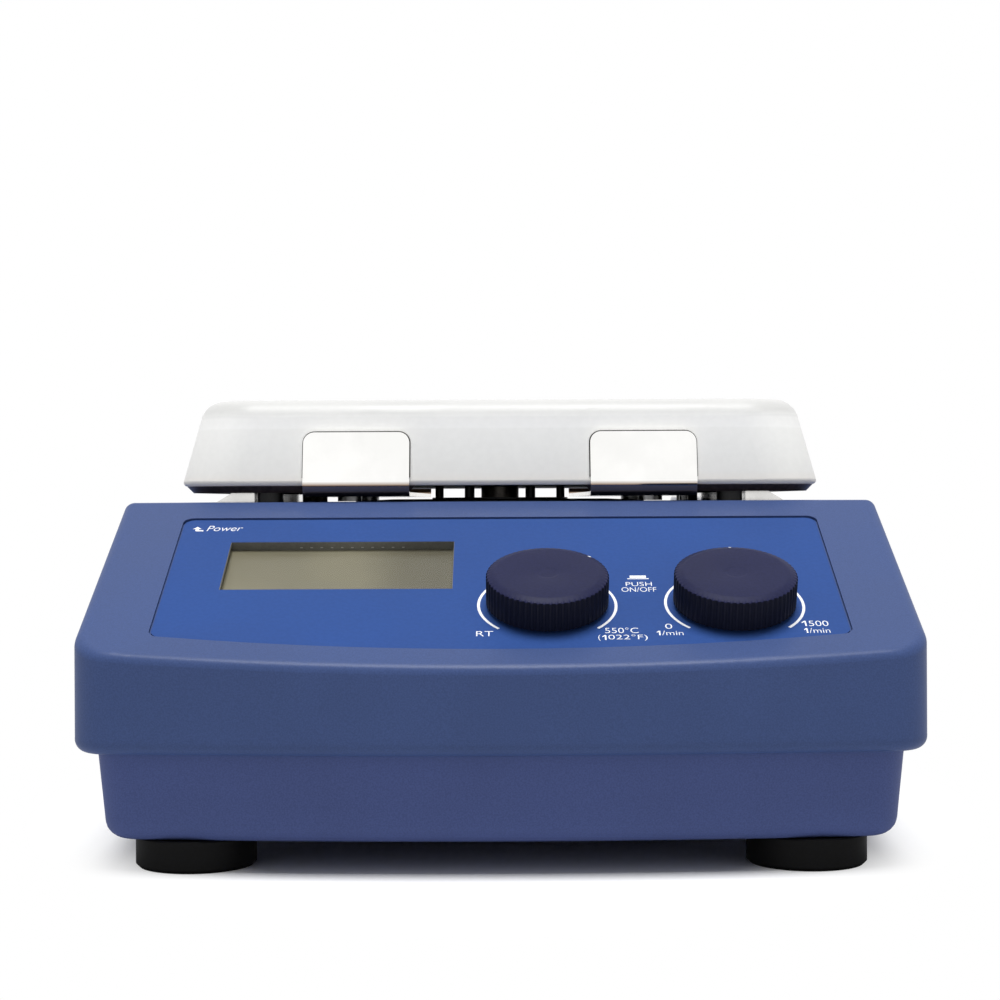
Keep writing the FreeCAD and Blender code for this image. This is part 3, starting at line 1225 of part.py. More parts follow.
def inlet_screws():
    """Two screws through the inlet's flange into the bay's wall."""
    screws = []
    for i, side in enumerate("-+"):
        x = f"(inlet_x {side} inlet_screw_pitch / 2)"
        head = rear_rod(f"InletScrewHead{i}", "small_bolt_head", "small_bolt_head_height", x, FACE_Y,
                        "bay_middle")
        stem = rear_rod(f"InletScrewStem{i}", "small_bolt_radius", "inlet_flange_thick + wall + 2", x,
                        f"({BAY_FLOOR} - wall - 2)", "bay_middle")
        screws.append(fuse(f"InletScrew{i}", [head, stem]))
    return group("inlet_screws", screws)


FUSE_Y = f"({FACE_Y} - drawer_depth + 1.4 + fuse_radius)"
DRAWER_Z = "(bay_middle - drawer_down)"
TROUGH_FLOOR = f"({DRAWER_Z} - drawer_height / 2 + 1.2)"


def fuse_drawer():
    """The fuse drawer: a tray with a trough across it and a finger notch in its face."""
    block = box("DrawerBlock", "drawer_width", "drawer_depth + 0.5", "drawer_height", "inlet_x",
                f"{FACE_Y} - drawer_depth / 2 + 0.25", f"{DRAWER_Z} - drawer_height / 2")
    trough = box("DrawerTrough", "fuse_length + 0.4", "2 * fuse_radius + 0.4", "drawer_height", "inlet_x",
                 FUSE_Y, TROUGH_FLOOR)
    notch = box("DrawerNotch", "8", "2", "2", "inlet_x", f"({FACE_Y} + 0.4)",
                f"{DRAWER_Z} + drawer_height / 2 - 2")
    return cut("fuse_drawer", block, [trough, notch])


def fuse_link():
    """The fuse in the drawer: a tube between two thicker caps."""
    z = f"({TROUGH_FLOOR} + fuse_radius)"
    pieces = [rod("FuseTube", "fuse_radius - 0.25", "fuse_length", "inlet_x - fuse_length / 2", FUSE_Y, z,
                  Y_AXIS, "90")]
    for i, x in enumerate(("inlet_x - fuse_length / 2", "inlet_x + fuse_length / 2 - 5")):
        pieces.append(rod(f"FuseCap{i}", "fuse_radius", "5", x, FUSE_Y, z, Y_AXIS, "90"))
    return fuse("fuse", pieces)


ROCKER_OPENING = "(rocker_height + 2)"


def switch_frame():
    """The switch's bezel and body, open for the rocker and bored for its pivot pins."""
    bezel = rear_block("SwitchBezel", "switch_width", "switch_height", "switch_bezel", "switch_x",
                       BAY_FLOOR, "bay_middle", "1.5")
    body_width = "(switch_width - 2 * switch_lap)"
    body_height = "(switch_height - 2 * switch_lap)"
    block = box("SwitchBody", body_width, "switch_depth + 1", body_height, "switch_x",
                f"{BAY_FLOOR} - switch_depth / 2 + 0.5", f"bay_middle - {body_height} / 2")
    opening = box("SwitchOpening", "rocker_width + 2 * seat_gap", "10", ROCKER_OPENING, "switch_x",
                  f"({BAY_FLOOR} + switch_bezel - 5 + 1)", f"bay_middle - {ROCKER_OPENING} / 2")
    holes = rod("SwitchPivot", "rocker_pin + running_gap", "rocker_width + 2.2",
                "switch_x - rocker_width / 2 - 1.1", f"({BAY_FLOOR} + switch_bezel - rocker_pivot)",
                "bay_middle", Y_AXIS, "90")
    return cut("switch_frame", fuse("SwitchWhole", [bezel, block]), [opening, holes])


def power_rocker():
    """The rocker, at rest with its lower half pressed."""
    body = new_body("RockerBody")
    half = "(rocker_height / 2)"
    crown = "(rocker_pivot - 0.2)"
    tip = f"({crown} + {half} * tan(rocker_tilt))"
    points = [("-3.5", "-3"), ("0.5", "-" + half), (tip, "-" + half), (crown, "0"), (tip, half),
              ("0.5", half), ("-3.5", "3")]
    pad(body, outline(body, "RockerSection", "YZ_Plane", points), "rocker_width", both_ways=True)
    pins = rod("RockerPins", "rocker_pin", "rocker_width + 1.8", "-rocker_width / 2 - 0.9", "0", "0",
               Y_AXIS, "90")
    whole = fuse("power_rocker", [body, pins])
    return place(whole, "switch_x", f"({BAY_FLOOR} + switch_bezel - rocker_pivot)", "bay_middle",
                 X_AXIS, "-rocker_tilt")


def sensor_socket():
    """The round socket for an external temperature sensor."""
    profile = [("0", "-13"), ("sensor_barrel", "-13"), ("sensor_barrel", "0"), ("sensor_flange", "0"),
               ("sensor_flange", "1.2"), ("sensor_flange - 0.6", "1.8"), ("sensor_bore", "1.8"),
               ("sensor_bore", "-7"), ("0", "-7")]
    return place(turned("sensor_socket", profile), "sensor_x", BAY_FLOOR, "bay_middle", X_AXIS, "-90")


def rod_socket():
    """The threaded insert in the deck for a support rod."""
    top = "1.5"
    floor = f"({top} - rod_thread_depth)"
    foot = f"({floor} - 5)"
    profile = [("0", foot), ("rod_barrel - 1", foot), ("rod_barrel", f"{foot} + 1"), ("rod_barrel", "0"),
               ("rod_flange", "0"), ("rod_flange", "0.9"), ("rod_flange - 0.6", top), ("rod_thread", top),
               ("rod_thread", floor), ("0", floor)]
    return place(turned("rod_socket", profile), "rod_x", ROD_Y, "deck_top")


def build_nodes():
    """Every piece of the stirrer under its node name."""
    nodes = {
        "upper_housing": upper_housing(),
        "base_tub": base_tub(),
        "rubber_feet": rubber_feet(),
        "foot_screws": foot_screws(),
        "case_screws": case_screws(),
        "panel_overlay": panel_overlay(),
        "display_window": display_window(),
        "lcd_module": lcd_module(),
        "control_board": control_board(),
        "board_screws": board_screws(),
        "encoder_nuts": encoder_nuts(),
        "top_plate": top_plate(),
        "heater_element": heater_element(),
        "insulation_board": insulation_board(),
        "plate_pan": plate_pan(),
        "left_plate_strap": plate_strap("left_plate_strap", "-"),
        "right_plate_strap": plate_strap("right_plate_strap", ""),
        "strap_screws": strap_screws(),
        "strap_nuts": strap_nuts(),
        "support_posts": support_posts(),
        "post_nuts": post_nuts(),
        "left_side_rail": side_rail("left_side_rail", "-"),
        "right_side_rail": side_rail("right_side_rail", ""),
        "heat_deflector": heat_deflector(),
        "spacer_cage": spacer_cage(),
        "drive_motor": drive_motor(),
        "motor_bracket": motor_bracket(),
        "bracket_screws": bracket_screws(),
        "drive_shaft": drive_shaft(),
        "magnet_yoke": magnet_yoke(),
        "drive_magnets": drive_magnets(),
        "temperature_probe": temperature_probe(),
        "heater_terminals": heater_terminals(),
        "power_board": power_board(),
        "power_board_screws": power_board_screws(),
        "transformer": transformer(),
        "power_inlet": power_inlet(),
        "inlet_pins": inlet_pins(),
        "inlet_screws": inlet_screws(),
        "fuse_drawer": fuse_drawer(),
        "fuse": fuse_link(),
        "switch_frame": switch_frame(),
        "power_rocker": power_rocker(),
        "sensor_socket": sensor_socket(),
        "rod_socket": rod_socket(),
    }
    for control, x in CONTROLS:
        nodes[control + "_encoder"] = encoder(control, x)
        nodes[control + "_plunger"] = plunger(control, x)
        nodes[control + "_shaft"] = control_shaft(control, x)
        nodes[control + "_knob"] = knob(control, x)
    return nodes


def check_and_write(nodes):
    """Stops at a failed object or a bad solid, then writes one file for each node."""
    doc.recompute()
    failed = [thing.Name for thing in doc.Objects if {"Invalid", "Error"} & set(thing.State)]
    if failed:
        raise RuntimeError("these objects failed: " + ", ".join(failed))
    for name, thing in nodes.items():
        shape = thing.Shape
        if shape.isNull() or not shape.isValid() or not shape.Solids:
            raise RuntimeError("no valid solid in " + name)
    for name, thing in nodes.items():
        thing.Label = name
        thing.Shape.exportStep(f"parts/{name}.step")
        print(f"{name}: {len(thing.Shape.Solids)} solids, {thing.Shape.Volume:.0f} cubic mm")


check_and_write(build_nodes())
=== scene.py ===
import math

import bpy
from mathutils import Matrix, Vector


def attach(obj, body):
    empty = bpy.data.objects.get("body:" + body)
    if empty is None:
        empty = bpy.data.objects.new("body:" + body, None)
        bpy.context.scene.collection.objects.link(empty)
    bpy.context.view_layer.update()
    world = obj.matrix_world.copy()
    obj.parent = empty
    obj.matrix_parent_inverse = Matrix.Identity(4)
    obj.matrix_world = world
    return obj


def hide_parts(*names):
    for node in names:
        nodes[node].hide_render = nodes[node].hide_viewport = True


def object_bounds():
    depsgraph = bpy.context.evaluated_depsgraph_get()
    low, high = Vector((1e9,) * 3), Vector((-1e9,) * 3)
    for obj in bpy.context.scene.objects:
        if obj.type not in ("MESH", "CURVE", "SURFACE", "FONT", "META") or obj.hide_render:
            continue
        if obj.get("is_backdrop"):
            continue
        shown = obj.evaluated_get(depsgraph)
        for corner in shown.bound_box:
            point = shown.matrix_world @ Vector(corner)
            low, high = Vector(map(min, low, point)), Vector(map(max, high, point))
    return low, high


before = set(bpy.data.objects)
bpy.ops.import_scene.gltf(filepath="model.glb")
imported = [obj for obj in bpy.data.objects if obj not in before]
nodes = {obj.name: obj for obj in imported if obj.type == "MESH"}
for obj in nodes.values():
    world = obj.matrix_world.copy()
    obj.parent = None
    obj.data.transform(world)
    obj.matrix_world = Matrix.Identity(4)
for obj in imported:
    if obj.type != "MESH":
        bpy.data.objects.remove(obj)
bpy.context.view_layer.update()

# Lengths are in millimetres where no comment says otherwise.

MM = 0.001
SLOPE = math.radians(25.3)
# The panel's frame, moved in metres: X runs across, Y up the slope, Z off the slope.
PANEL = Matrix.Translation((0, -0.150, 0.0532)) @ Matrix.Rotation(SLOPE, 4, "X")
FOIL = -0.4
PRINT = 0.03
HEATING_X = 12.3
STIRRING_X = 61.5
KNOB_UP = 33.5
KNOB_RADIUS = 16.1
KNOB_BORE = 3.05
FLUTES = 63
FLUTE_RADIUS = 0.66
FLUTE_CENTRE = KNOB_RADIUS + FLUTE_RADIUS * 0.4
# Turns of the knobs, in degrees from the panel's X: their range, and where each points at rest.
DIAL_START, DIAL_END = -45, 225
HEATING_TURN, STIRRING_TURN = 42, 90


# Surfaces

# Noise scales are per metre.
NOISE_LOW, NOISE_HIGH = 0.3, 0.7
FINE_DETAIL, BROAD_DETAIL = 3.0, 2.0
BROAD_SCALE = 28
COAT_ROUGH = 0.30
LEAST_ROUGH = 0.02
CLEAR_TINT = (0.97, 0.97, 0.96, 1)
CLEAR_SCALE = 90
CLEAR_ROUGH = (0.10, 0.20)
CLEAR_POWER = 3.0
CLEAR_MIRROR = 0.06


def link(tree, start, output, end, socket):
    """Joins two shader sockets."""
    tree.links.new(start.outputs[output], end.inputs[socket])


def ramp(tree, source, low, high):
    """Spreads a noise value smoothly over a range."""
    node = tree.nodes.new("ShaderNodeMapRange")
    node.inputs["From Min"].default_value = NOISE_LOW
    node.inputs["From Max"].default_value = NOISE_HIGH
    node.inputs["To Min"].default_value = low
    node.inputs["To Max"].default_value = high
    node.interpolation_type = "SMOOTHERSTEP"
    link(tree, source, 0, node, "Value")
    return node


def noise(tree, coords, scale, detail, stretch=None):
    """A noise at a scale per metre, stretched for brushed metal if asked."""
    node = tree.nodes.new("ShaderNodeTexNoise")
    node.inputs["Scale"].default_value = scale
    node.inputs["Detail"].default_value = detail
    if stretch:
        mapping = tree.nodes.new("ShaderNodeMapping")
        mapping.inputs["Scale"].default_value = stretch
        link(tree, coords, "Object", mapping, "Vector")
        link(tree, mapping, "Vector", node, "Vector")
    else:
        link(tree, coords, "Object", node, "Vector")
    return node


def surface(name, colour, rough, metal=0.0, grain=1200, bump=0.1, depth=0.03, tint=0.08, blotch=0.03,
            uneven=0.05, stretch=None, coat=0.0, specular=0.5):
    """A principled surface with fine grain, broad unevenness and a varied roughness."""
    made = bpy.data.materials.new(name)
    made.use_nodes = True
    tree = made.node_tree
    shader = tree.nodes["Principled BSDF"]
    shader.inputs["Metallic"].default_value = metal
    shader.inputs["Specular IOR Level"].default_value = specular
    shader.inputs["Coat Weight"].default_value = coat
    shader.inputs["Coat Roughness"].default_value = COAT_ROUGH
    coords = tree.nodes.new("ShaderNodeTexCoord")
    fine = noise(tree, coords, grain, FINE_DETAIL, stretch)
    broad = noise(tree, coords, BROAD_SCALE, BROAD_DETAIL)
    fine_share = ramp(tree, fine, 1 - tint, 1 + tint)
    broad_share = ramp(tree, broad, 1 - blotch, 1 + blotch)
    share = tree.nodes.new("ShaderNodeMath")
    share.operation = "MULTIPLY"
    link(tree, fine_share, 0, share, 0)
    link(tree, broad_share, 0, share, 1)
    mixed = tree.nodes.new("ShaderNodeVectorMath")
    mixed.operation = "SCALE"
    mixed.inputs[0].default_value = colour
    link(tree, share, 0, mixed, "Scale")
    link(tree, mixed, 0, shader, "Base Color")
    rough_share = ramp(tree, broad, max(rough - uneven, LEAST_ROUGH), rough + uneven)
    link(tree, rough_share, 0, shader, "Roughness")
    relief = tree.nodes.new("ShaderNodeBump")
    relief.inputs["Strength"].default_value = bump
    relief.inputs["Distance"].default_value = depth * MM
    link(tree, fine, 0, relief, "Height")
    link(tree, relief, 0, shader, "Normal")
    return made


def paint_light_along(made, axis, stops):
    """Paints light and shade into a surface's colour: multiplies it by tints that change along an axis, at
    places in millimetres.
    """
    tree = made.node_tree
    shader = tree.nodes["Principled BSDF"]
    before = shader.inputs["Base Color"].links[0].from_socket
    low, high = stops[0][0], stops[-1][0]
    coords = tree.nodes.new("ShaderNodeTexCoord")
    parts = tree.nodes.new("ShaderNodeSeparateXYZ")
    link(tree, coords, "Object", parts, 0)
    way = tree.nodes.new("ShaderNodeMapRange")
    way.inputs["From Min"].default_value = low * MM
    way.inputs["From Max"].default_value = high * MM
    link(tree, parts, axis, way, "Value")
    tints = tree.nodes.new("ShaderNodeValToRGB")
    for i, (spot, tint) in enumerate(stops):
        part = (spot - low) / (high - low)
        stop = tints.color_ramp.elements[i] if i < 2 else tints.color_ramp.elements.new(part)
        stop.position = part
        stop.color = (*tint, 1)
    link(tree, way, 0, tints, 0)
    mix = tree.nodes.new("ShaderNodeMix")
    mix.data_type = "RGBA"
    mix.blend_type = "MULTIPLY"
    mix.inputs["Factor"].default_value = 1.0
    tree.links.new(before, mix.inputs["A"])
    tree.links.new(tints.outputs["Color"], mix.inputs["B"])
    tree.links.new(mix.outputs["Result"], shader.inputs["Base Color"])


def clear_sheet(name):
    """Thin clear plastic: it lets light through and mirrors a little at a flat angle."""
    made = bpy.data.materials.new(name)
    made.use_nodes = True
    tree = made.node_tree
    tree.nodes.remove(tree.nodes["Principled BSDF"])
    coords = tree.nodes.new("ShaderNodeTexCoord")
    cloud = noise(tree, coords, CLEAR_SCALE, BROAD_DETAIL)
    clear = tree.nodes.new("ShaderNodeBsdfTransparent")
    clear.inputs["Color"].default_value = CLEAR_TINT
    mirror = tree.nodes.new("ShaderNodeBsdfGlossy")
    link(tree, ramp(tree, cloud, *CLEAR_ROUGH), 0, mirror, "Roughness")
    facing = tree.nodes.new("ShaderNodeLayerWeight")
    steep = tree.nodes.new("ShaderNodeMath")
    steep.operation = "POWER"
    steep.inputs[1].default_value = CLEAR_POWER
    link(tree, facing, "Facing", steep, 0)
    share = tree.nodes.new("ShaderNodeMath")
    share.operation = "MULTIPLY"
    share.inputs[1].default_value = CLEAR_MIRROR
    link(tree, steep, 0, share, 0)
    blend = tree.nodes.new("ShaderNodeMixShader")
    link(tree, share, 0, blend, 0)
    link(tree, clear, 0, blend, 1)
    link(tree, mirror, 0, blend, 2)
    link(tree, blend, 0, tree.nodes["Material Output"], "Surface")
    return made


COVER = surface("cover paint", (0.0485, 0.080, 0.205), 0.55, grain=2600, bump=0.35, depth=0.06, tint=0.08,
                coat=0.2, specular=0.06)
TUB = surface("tub paint", (0.072, 0.100, 0.258), 0.55, grain=2600, bump=0.3, depth=0.05, tint=0.08,
              specular=0.12)
OVERLAY = surface("overlay foil", (0.030, 0.075, 0.256), 0.50, grain=900, bump=0.04, tint=0.03,
                  specular=0.04)
INK = surface("white ink", (0.86, 0.87, 0.90), 0.5, grain=1500, bump=0.05, tint=0.03)
DISPLAY = surface("display", (0.148, 0.137, 0.091), 0.45, grain=700, bump=0.01, tint=0.01, blotch=0.12)
FRAME = surface("display frame", (0.150, 0.150, 0.138), 0.45, grain=900, bump=0.1, blotch=0.15)
FRAME_MARK = surface("display frame mark", (0.42, 0.42, 0.40), 0.45, grain=900, bump=0.1)
KNOB = surface("knob plastic", (0.0135, 0.0155, 0.052), 0.45, grain=1400, bump=0.15, tint=0.10,
               specular=0.07)
# The knob's fluted side: the knob's plastic made darker, as painted shade.
KNOB_SIDE_SHADED = surface("knob side shaded", (0.0062, 0.0073, 0.0182), 0.50, grain=1400, bump=0.15, tint=0.10,
                    specular=0.14)
ENAMEL = surface("plate enamel", (0.95, 0.95, 0.935), 0.38, grain=500, bump=0.04, tint=0.01, blotch=0.012,
                 specular=0.25)
MIRROR = surface("polished strap", (0.97, 0.965, 0.945), 0.07, metal=1.0, grain=120, bump=0.03, tint=0.02,
                 uneven=0.02)
# Painted light along the straps' and the plate's height, and across the display.
# Straps: a painted dark reflection, brownish, at the lower bend below 100.3 mm.
STRAP_PAINTED_REFLECTION = [(99.2, (0.36, 0.25, 0.18)), (100.3, (1.0, 1.0, 1.0))]
# Plate: painted shade on the lower rim and on the top rounding, darkened against the light from above, and a
# painted step line near 116 mm.
PLATE_PAINTED_SHADE = [(99.2, (0.86, 0.80, 0.71)), (100.6, (0.90, 0.875, 0.84)), (103.0, (0.90, 0.895, 0.88)),
               (109.0, (0.93, 0.93, 0.92)), (115.7, (0.96, 0.96, 0.955)), (116.2, (1.0, 1.0, 1.0)),
               (119.0, (0.97, 0.97, 0.97)), (120.6, (0.79, 0.79, 0.79)), (121.6, (0.70, 0.70, 0.70)),
               (122.8, (0.66, 0.66, 0.66)), (124.3, (0.69, 0.69, 0.69))]
# Display: a painted reflection, lighter to the left, with a dark patch to the right.
DISPLAY_PAINTED_REFLECTION = [(-75.0, (1.14, 1.12, 1.06)), (-55.0, (1.04, 1.03, 1.0)), (-38.0, (1.0, 0.99, 0.97)),
                 (-26.0, (0.70, 0.69, 0.66)), (-17.0, (0.60, 0.59, 0.55)), (-12.0, (0.70, 0.69, 0.66))]
paint_light_along(MIRROR, "Z", STRAP_PAINTED_REFLECTION)
paint_light_along(ENAMEL, "Z", PLATE_PAINTED_SHADE)
paint_light_along(DISPLAY, "X", DISPLAY_PAINTED_REFLECTION)
RAIL = surface("polished rail", (0.75, 0.74, 0.72), 0.14, metal=1.0, grain=200, bump=0.05, tint=0.04)
STEEL = surface("bright steel", (0.58, 0.58, 0.59), 0.30, metal=1.0, grain=1500, bump=0.1, tint=0.08)
SHAFT = surface("dark shaft", (0.16, 0.145, 0.13), 0.36, metal=1.0, grain=900, bump=0.1, tint=0.15)
PAN = surface("dark pan", (0.060, 0.045, 0.042), 0.36, metal=0.6, grain=600, bump=0.15, tint=0.2)
TEAL = surface("deflector paint", (0.030, 0.062, 0.080), 0.4, grain=900, bump=0.12, tint=0.12)
BLACK_METAL = surface("black metal", (0.012, 0.012, 0.013), 0.4, grain=900, bump=0.15, tint=0.15)
RUBBER = surface("foot rubber", (0.004, 0.004, 0.0042), 0.6, grain=1500, bump=0.3, tint=0.15, specular=0.1)
BLACK = surface("black plastic", (0.014, 0.014, 0.0145), 0.42, grain=1800, bump=0.25, tint=0.12)
BRASS = surface("contact metal", (0.66, 0.60, 0.42), 0.25, metal=1.0, grain=1500, bump=0.05)
FIBRE = surface("fibre board", (0.62, 0.60, 0.55), 0.85, grain=700, bump=0.6, depth=0.1, tint=0.15)
HEATER = surface("heater", (0.20, 0.17, 0.15), 0.5, metal=0.8, grain=900, bump=0.2, tint=0.2)
CERAMIC = surface("unglazed ceramic", (0.66, 0.63, 0.56), 0.65, grain=1200, bump=0.15)
BOARD = surface("circuit board", (0.02, 0.12, 0.05), 0.4, grain=600, bump=0.1, tint=0.12)
MOTOR = surface("motor steel", (0.36, 0.36, 0.37), 0.38, metal=1.0, grain=700, bump=0.1, stretch=(1, 1, 12))
MAGNET = surface("magnet", (0.10, 0.10, 0.11), 0.45, metal=0.4, grain=1200, bump=0.2, tint=0.15)
# A dark sheet standing in for the shadow gap round the straps' ends: painted shadow.
SHADOW_GAP_DARK = surface("strap shadow gap", (0.030, 0.027, 0.025), 0.7, grain=1200, bump=0.2, tint=0.1, specular=0.2)
CLEAR = clear_sheet("clear window")

FINISHES = {
    COVER: ["upper_housing"],
    TUB: ["base_tub"],
    OVERLAY: ["panel_overlay"],
    CLEAR: ["display_window"],
    DISPLAY: ["lcd_module"],
    KNOB_SIDE_SHADED: ["heating_knob", "stirring_knob"],
    ENAMEL: ["top_plate"],
    MIRROR: ["left_plate_strap", "right_plate_strap"],
    RAIL: ["left_side_rail", "right_side_rail"],
    STEEL: ["strap_screws", "strap_nuts", "post_nuts", "foot_screws", "case_screws", "board_screws",
            "encoder_nuts", "bracket_screws", "motor_bracket", "magnet_yoke", "temperature_probe",
            "power_board_screws", "inlet_screws", "heating_shaft", "stirring_shaft", "rod_socket"],
    SHAFT: ["drive_shaft"],
    PAN: ["plate_pan"],
    TEAL: ["heat_deflector"],
    BLACK_METAL: ["spacer_cage", "support_posts"],
    RUBBER: ["rubber_feet"],
    BLACK: ["power_inlet", "fuse_drawer", "switch_frame", "power_rocker", "heating_encoder",
            "stirring_encoder", "heating_plunger", "stirring_plunger", "sensor_socket"],
    BRASS: ["inlet_pins"],
    FIBRE: ["insulation_board"],
    HEATER: ["heater_element"],
    CERAMIC: ["heater_terminals", "fuse"],
    BOARD: ["control_board", "power_board"],
    MOTOR: ["drive_motor", "transformer"],
    MAGNET: ["drive_magnets"],
}
for finish, names in FINISHES.items():
    for name in names:
        nodes[name].data.materials.clear()
        nodes[name].data.materials.append(finish)

# Mirror images leave the straps out: they would lay hard bright patches on the panel.
for name in ("left_plate_strap", "right_plate_strap"):
    nodes[name].visible_glossy = False


# Shapes

def mesh_piece(name, verts, faces, material, body="base", smooth=False, matrix=None):
    """A mesh from vertices in millimetres, placed in the row frame and carried by a body."""
    data = bpy.data.meshes.new(name)
    data.from_pydata([tuple(c * MM for c in v) for v in verts], [], faces)
    if matrix:
        data.transform(matrix)
    data.materials.append(material)
    if smooth:
        data.shade_smooth()
    data.update()
    piece = bpy.data.objects.new(name, data)
    bpy.context.scene.collection.objects.link(piece)
    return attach(piece, body)


def plate_of(outline, low, high):
    """Vertices and faces of a flat plate over an outline, between two heights."""
    count = len(outline)
    verts = [(x, y, low) for x, y in outline] + [(x, y, high) for x, y in outline]
    faces = [list(range(count))[::-1], list(range(count, 2 * count))]
    for i in range(count):
        j = (i + 1) % count
        faces.append([i, j, count + j, count + i])
    return verts, faces


def ink_shape(name, outline):
    """A printed shape on the panel foil."""
    verts, faces = plate_of(outline, FOIL, FOIL + PRINT)
    return mesh_piece(name, verts, faces, INK, matrix=PANEL)


def ink_arc(name, x):
    """A printed arc round a knob, as long as the knob's range."""
    inner, outer, steps = 17.7, 18.45, 96
    reach = DIAL_END - DIAL_START
    angles = [math.radians(DIAL_START + reach * i / steps) for i in range(steps + 1)]
    ring = [(x + inner * math.cos(a), KNOB_UP + inner * math.sin(a)) for a in angles]
    ring += [(x + outer * math.cos(a), KNOB_UP + outer * math.sin(a)) for a in reversed(angles)]
    return ink_shape(name, ring[::-1])


def ink_text(name, text, left, right, low, high, lean=0.0):
    """Generic lettering on the foil, fitted into a rectangle given across and up the slope."""
    curve = bpy.data.curves.new(name, "FONT")
    curve.body = text
    curve.shear = lean
    half_depth, thinner = 0.5, -0.008
    curve.extrude = half_depth
    curve.offset = thinner
    holder = bpy.data.objects.new(name, curve)
    bpy.context.scene.collection.objects.link(holder)
    bpy.context.view_layer.update()
    data = bpy.data.meshes.new_from_object(holder.evaluated_get(bpy.context.evaluated_depsgraph_get()))
    bpy.data.objects.remove(holder)
    spots = [v.co for v in data.vertices]
    x0, x1 = min(v.x for v in spots), max(v.x for v in spots)
    y0, y1 = min(v.y for v in spots), max(v.y for v in spots)
    fit = Matrix.Translation((left * MM, low * MM, FOIL * MM)) @ Matrix.Diagonal(
        ((right - left) / (x1 - x0) * MM, (high - low) / (y1 - y0) * MM, PRINT * MM, 1)
    ) @ Matrix.Translation((-x0, -y0, half_depth))
    data.transform(PANEL @ fit)
    data.materials.clear()
    data.materials.append(INK)
    data.name = name
    piece = bpy.data.objects.new(name, data)
    bpy.context.scene.collection.objects.link(piece)
    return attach(piece, "base")


def ink_one(name, left, right, low, high):
    """A printed figure 1 with a short flag."""
    stem, tall = 0.42, high - low
    flag_top, flag_foot, flag_root = high - 0.26 * tall, high - 0.44 * tall, high - 0.22 * tall
    return ink_shape(name, [(right - stem, low), (right, low), (right, high), (right - 0.9 * stem, high),
                            (left, flag_top), (left, flag_foot), (right - stem, flag_root)])


ink_arc("heating_arc", HEATING_X)
ink_arc("stirring_arc", STIRRING_X)
# Each text and figure is given its left, right, low and high edges on the panel.
ink_text("power_lettering", "Power", -83.1, -72.95, 78.4, 81.7, 0.25)
ink_text("room_temperature_lettering", "RT", -6.25, -1.9, 16.8, 19.4)
ink_text("highest_celsius_lettering", "550°C", 26.8, 35.4, 18.1, 21.0)
ink_text("highest_fahrenheit_bracket", "(", 24.9, 25.5, 14.1, 17.3)
ink_one("highest_fahrenheit_one", 25.95, 27.0, 14.6, 17.1)
ink_text("highest_fahrenheit_lettering", "022°F)", 27.5, 37.5, 14.1, 17.3)
ink_text("push_lettering", "PUSH", 33.6, 40.6, 43.9, 46.2)
ink_text("on_off_lettering", "ON/OFF", 32.3, 41.6, 40.7, 43.2)
ink_text("lowest_speed_lettering", "0", 42.4, 44.2, 20.3, 22.9)
ink_one("lowest_speed_one", 40.0, 40.95, 16.9, 19.2)
ink_text("lowest_speed_unit", "/min", 41.35, 46.8, 16.9, 19.2)
ink_one("highest_speed_one", 77.8, 78.95, 21.4, 24.2)
ink_text("highest_speed_lettering", "500", 79.55, 84.6, 21.4, 24.2)
ink_one("highest_unit_one", 77.95, 78.85, 17.8, 20.3)
ink_text("highest_speed_unit", "/min", 79.2, 84.5, 17.8, 20.3)
ink_shape("push_mark", [(34.9, 48.6), (39.3, 48.6), (39.3, 50.0), (34.9, 50.0)])
ink_shape("push_mark_line", [(34.2, 47.9), (40.0, 47.9), (40.0, 48.35), (34.2, 48.35)])
ink_shape("power_arrow", [(-86.1, 78.3), (-84.0, 78.3), (-84.0, 79.0), (-85.3, 79.0), (-85.3, 79.7),
                          (-84.6, 79.7), (-85.9, 81.2), (-87.1, 79.7), (-86.3, 79.7), (-86.3, 78.7)])


# Knobs and display

# Points of a knob's wall within one flute's pitch, in degrees.
FLUTE_STEPS = (-2.86, -2.13, -1.65, -0.9, 0.0, 0.9, 1.65, 2.13)
# Radii and heights of a knob's rings, from the bore's end down to the rim and over the crown.
KNOB_RINGS = [(KNOB_BORE, 8.0), (KNOB_BORE, 3.2), (6.0, 3.2), (6.0, 5.2), (13.7, 5.2), (13.7, 0.4),
              (15.9, 0.4), (16.1, 0.6), (16.1, 8.12), (16.04, 8.27), (15.85, 8.40), (15.0, 8.73),
              (14.2, 9.04), (13.9, 9.13), (13.6, 9.18), (13.2, 9.2), (3.3, 9.2), (3.0, 9.16),
              (2.6, 9.07), (2.2, 9.05)]
CROWN_RING = 9
# Radii and heights of a tick's ends on the bevel.
TICK_ENDS = [(14.9, 8.77), (15.75, 8.44)]
KNOB_SHARP, ROLL_SHARP = math.radians(40), math.radians(30)


def flute_edge(turn):
    """Radius of a knob's fluted wall at a turn in degrees from the middle of a flute."""
    side = FLUTE_CENTRE * math.sin(math.radians(turn))
    if abs(side) >= FLUTE_RADIUS:
        return KNOB_RADIUS
    reach = FLUTE_CENTRE * math.cos(math.radians(turn)) - math.sqrt(FLUTE_RADIUS ** 2 - side ** 2)
    return min(reach, KNOB_RADIUS)


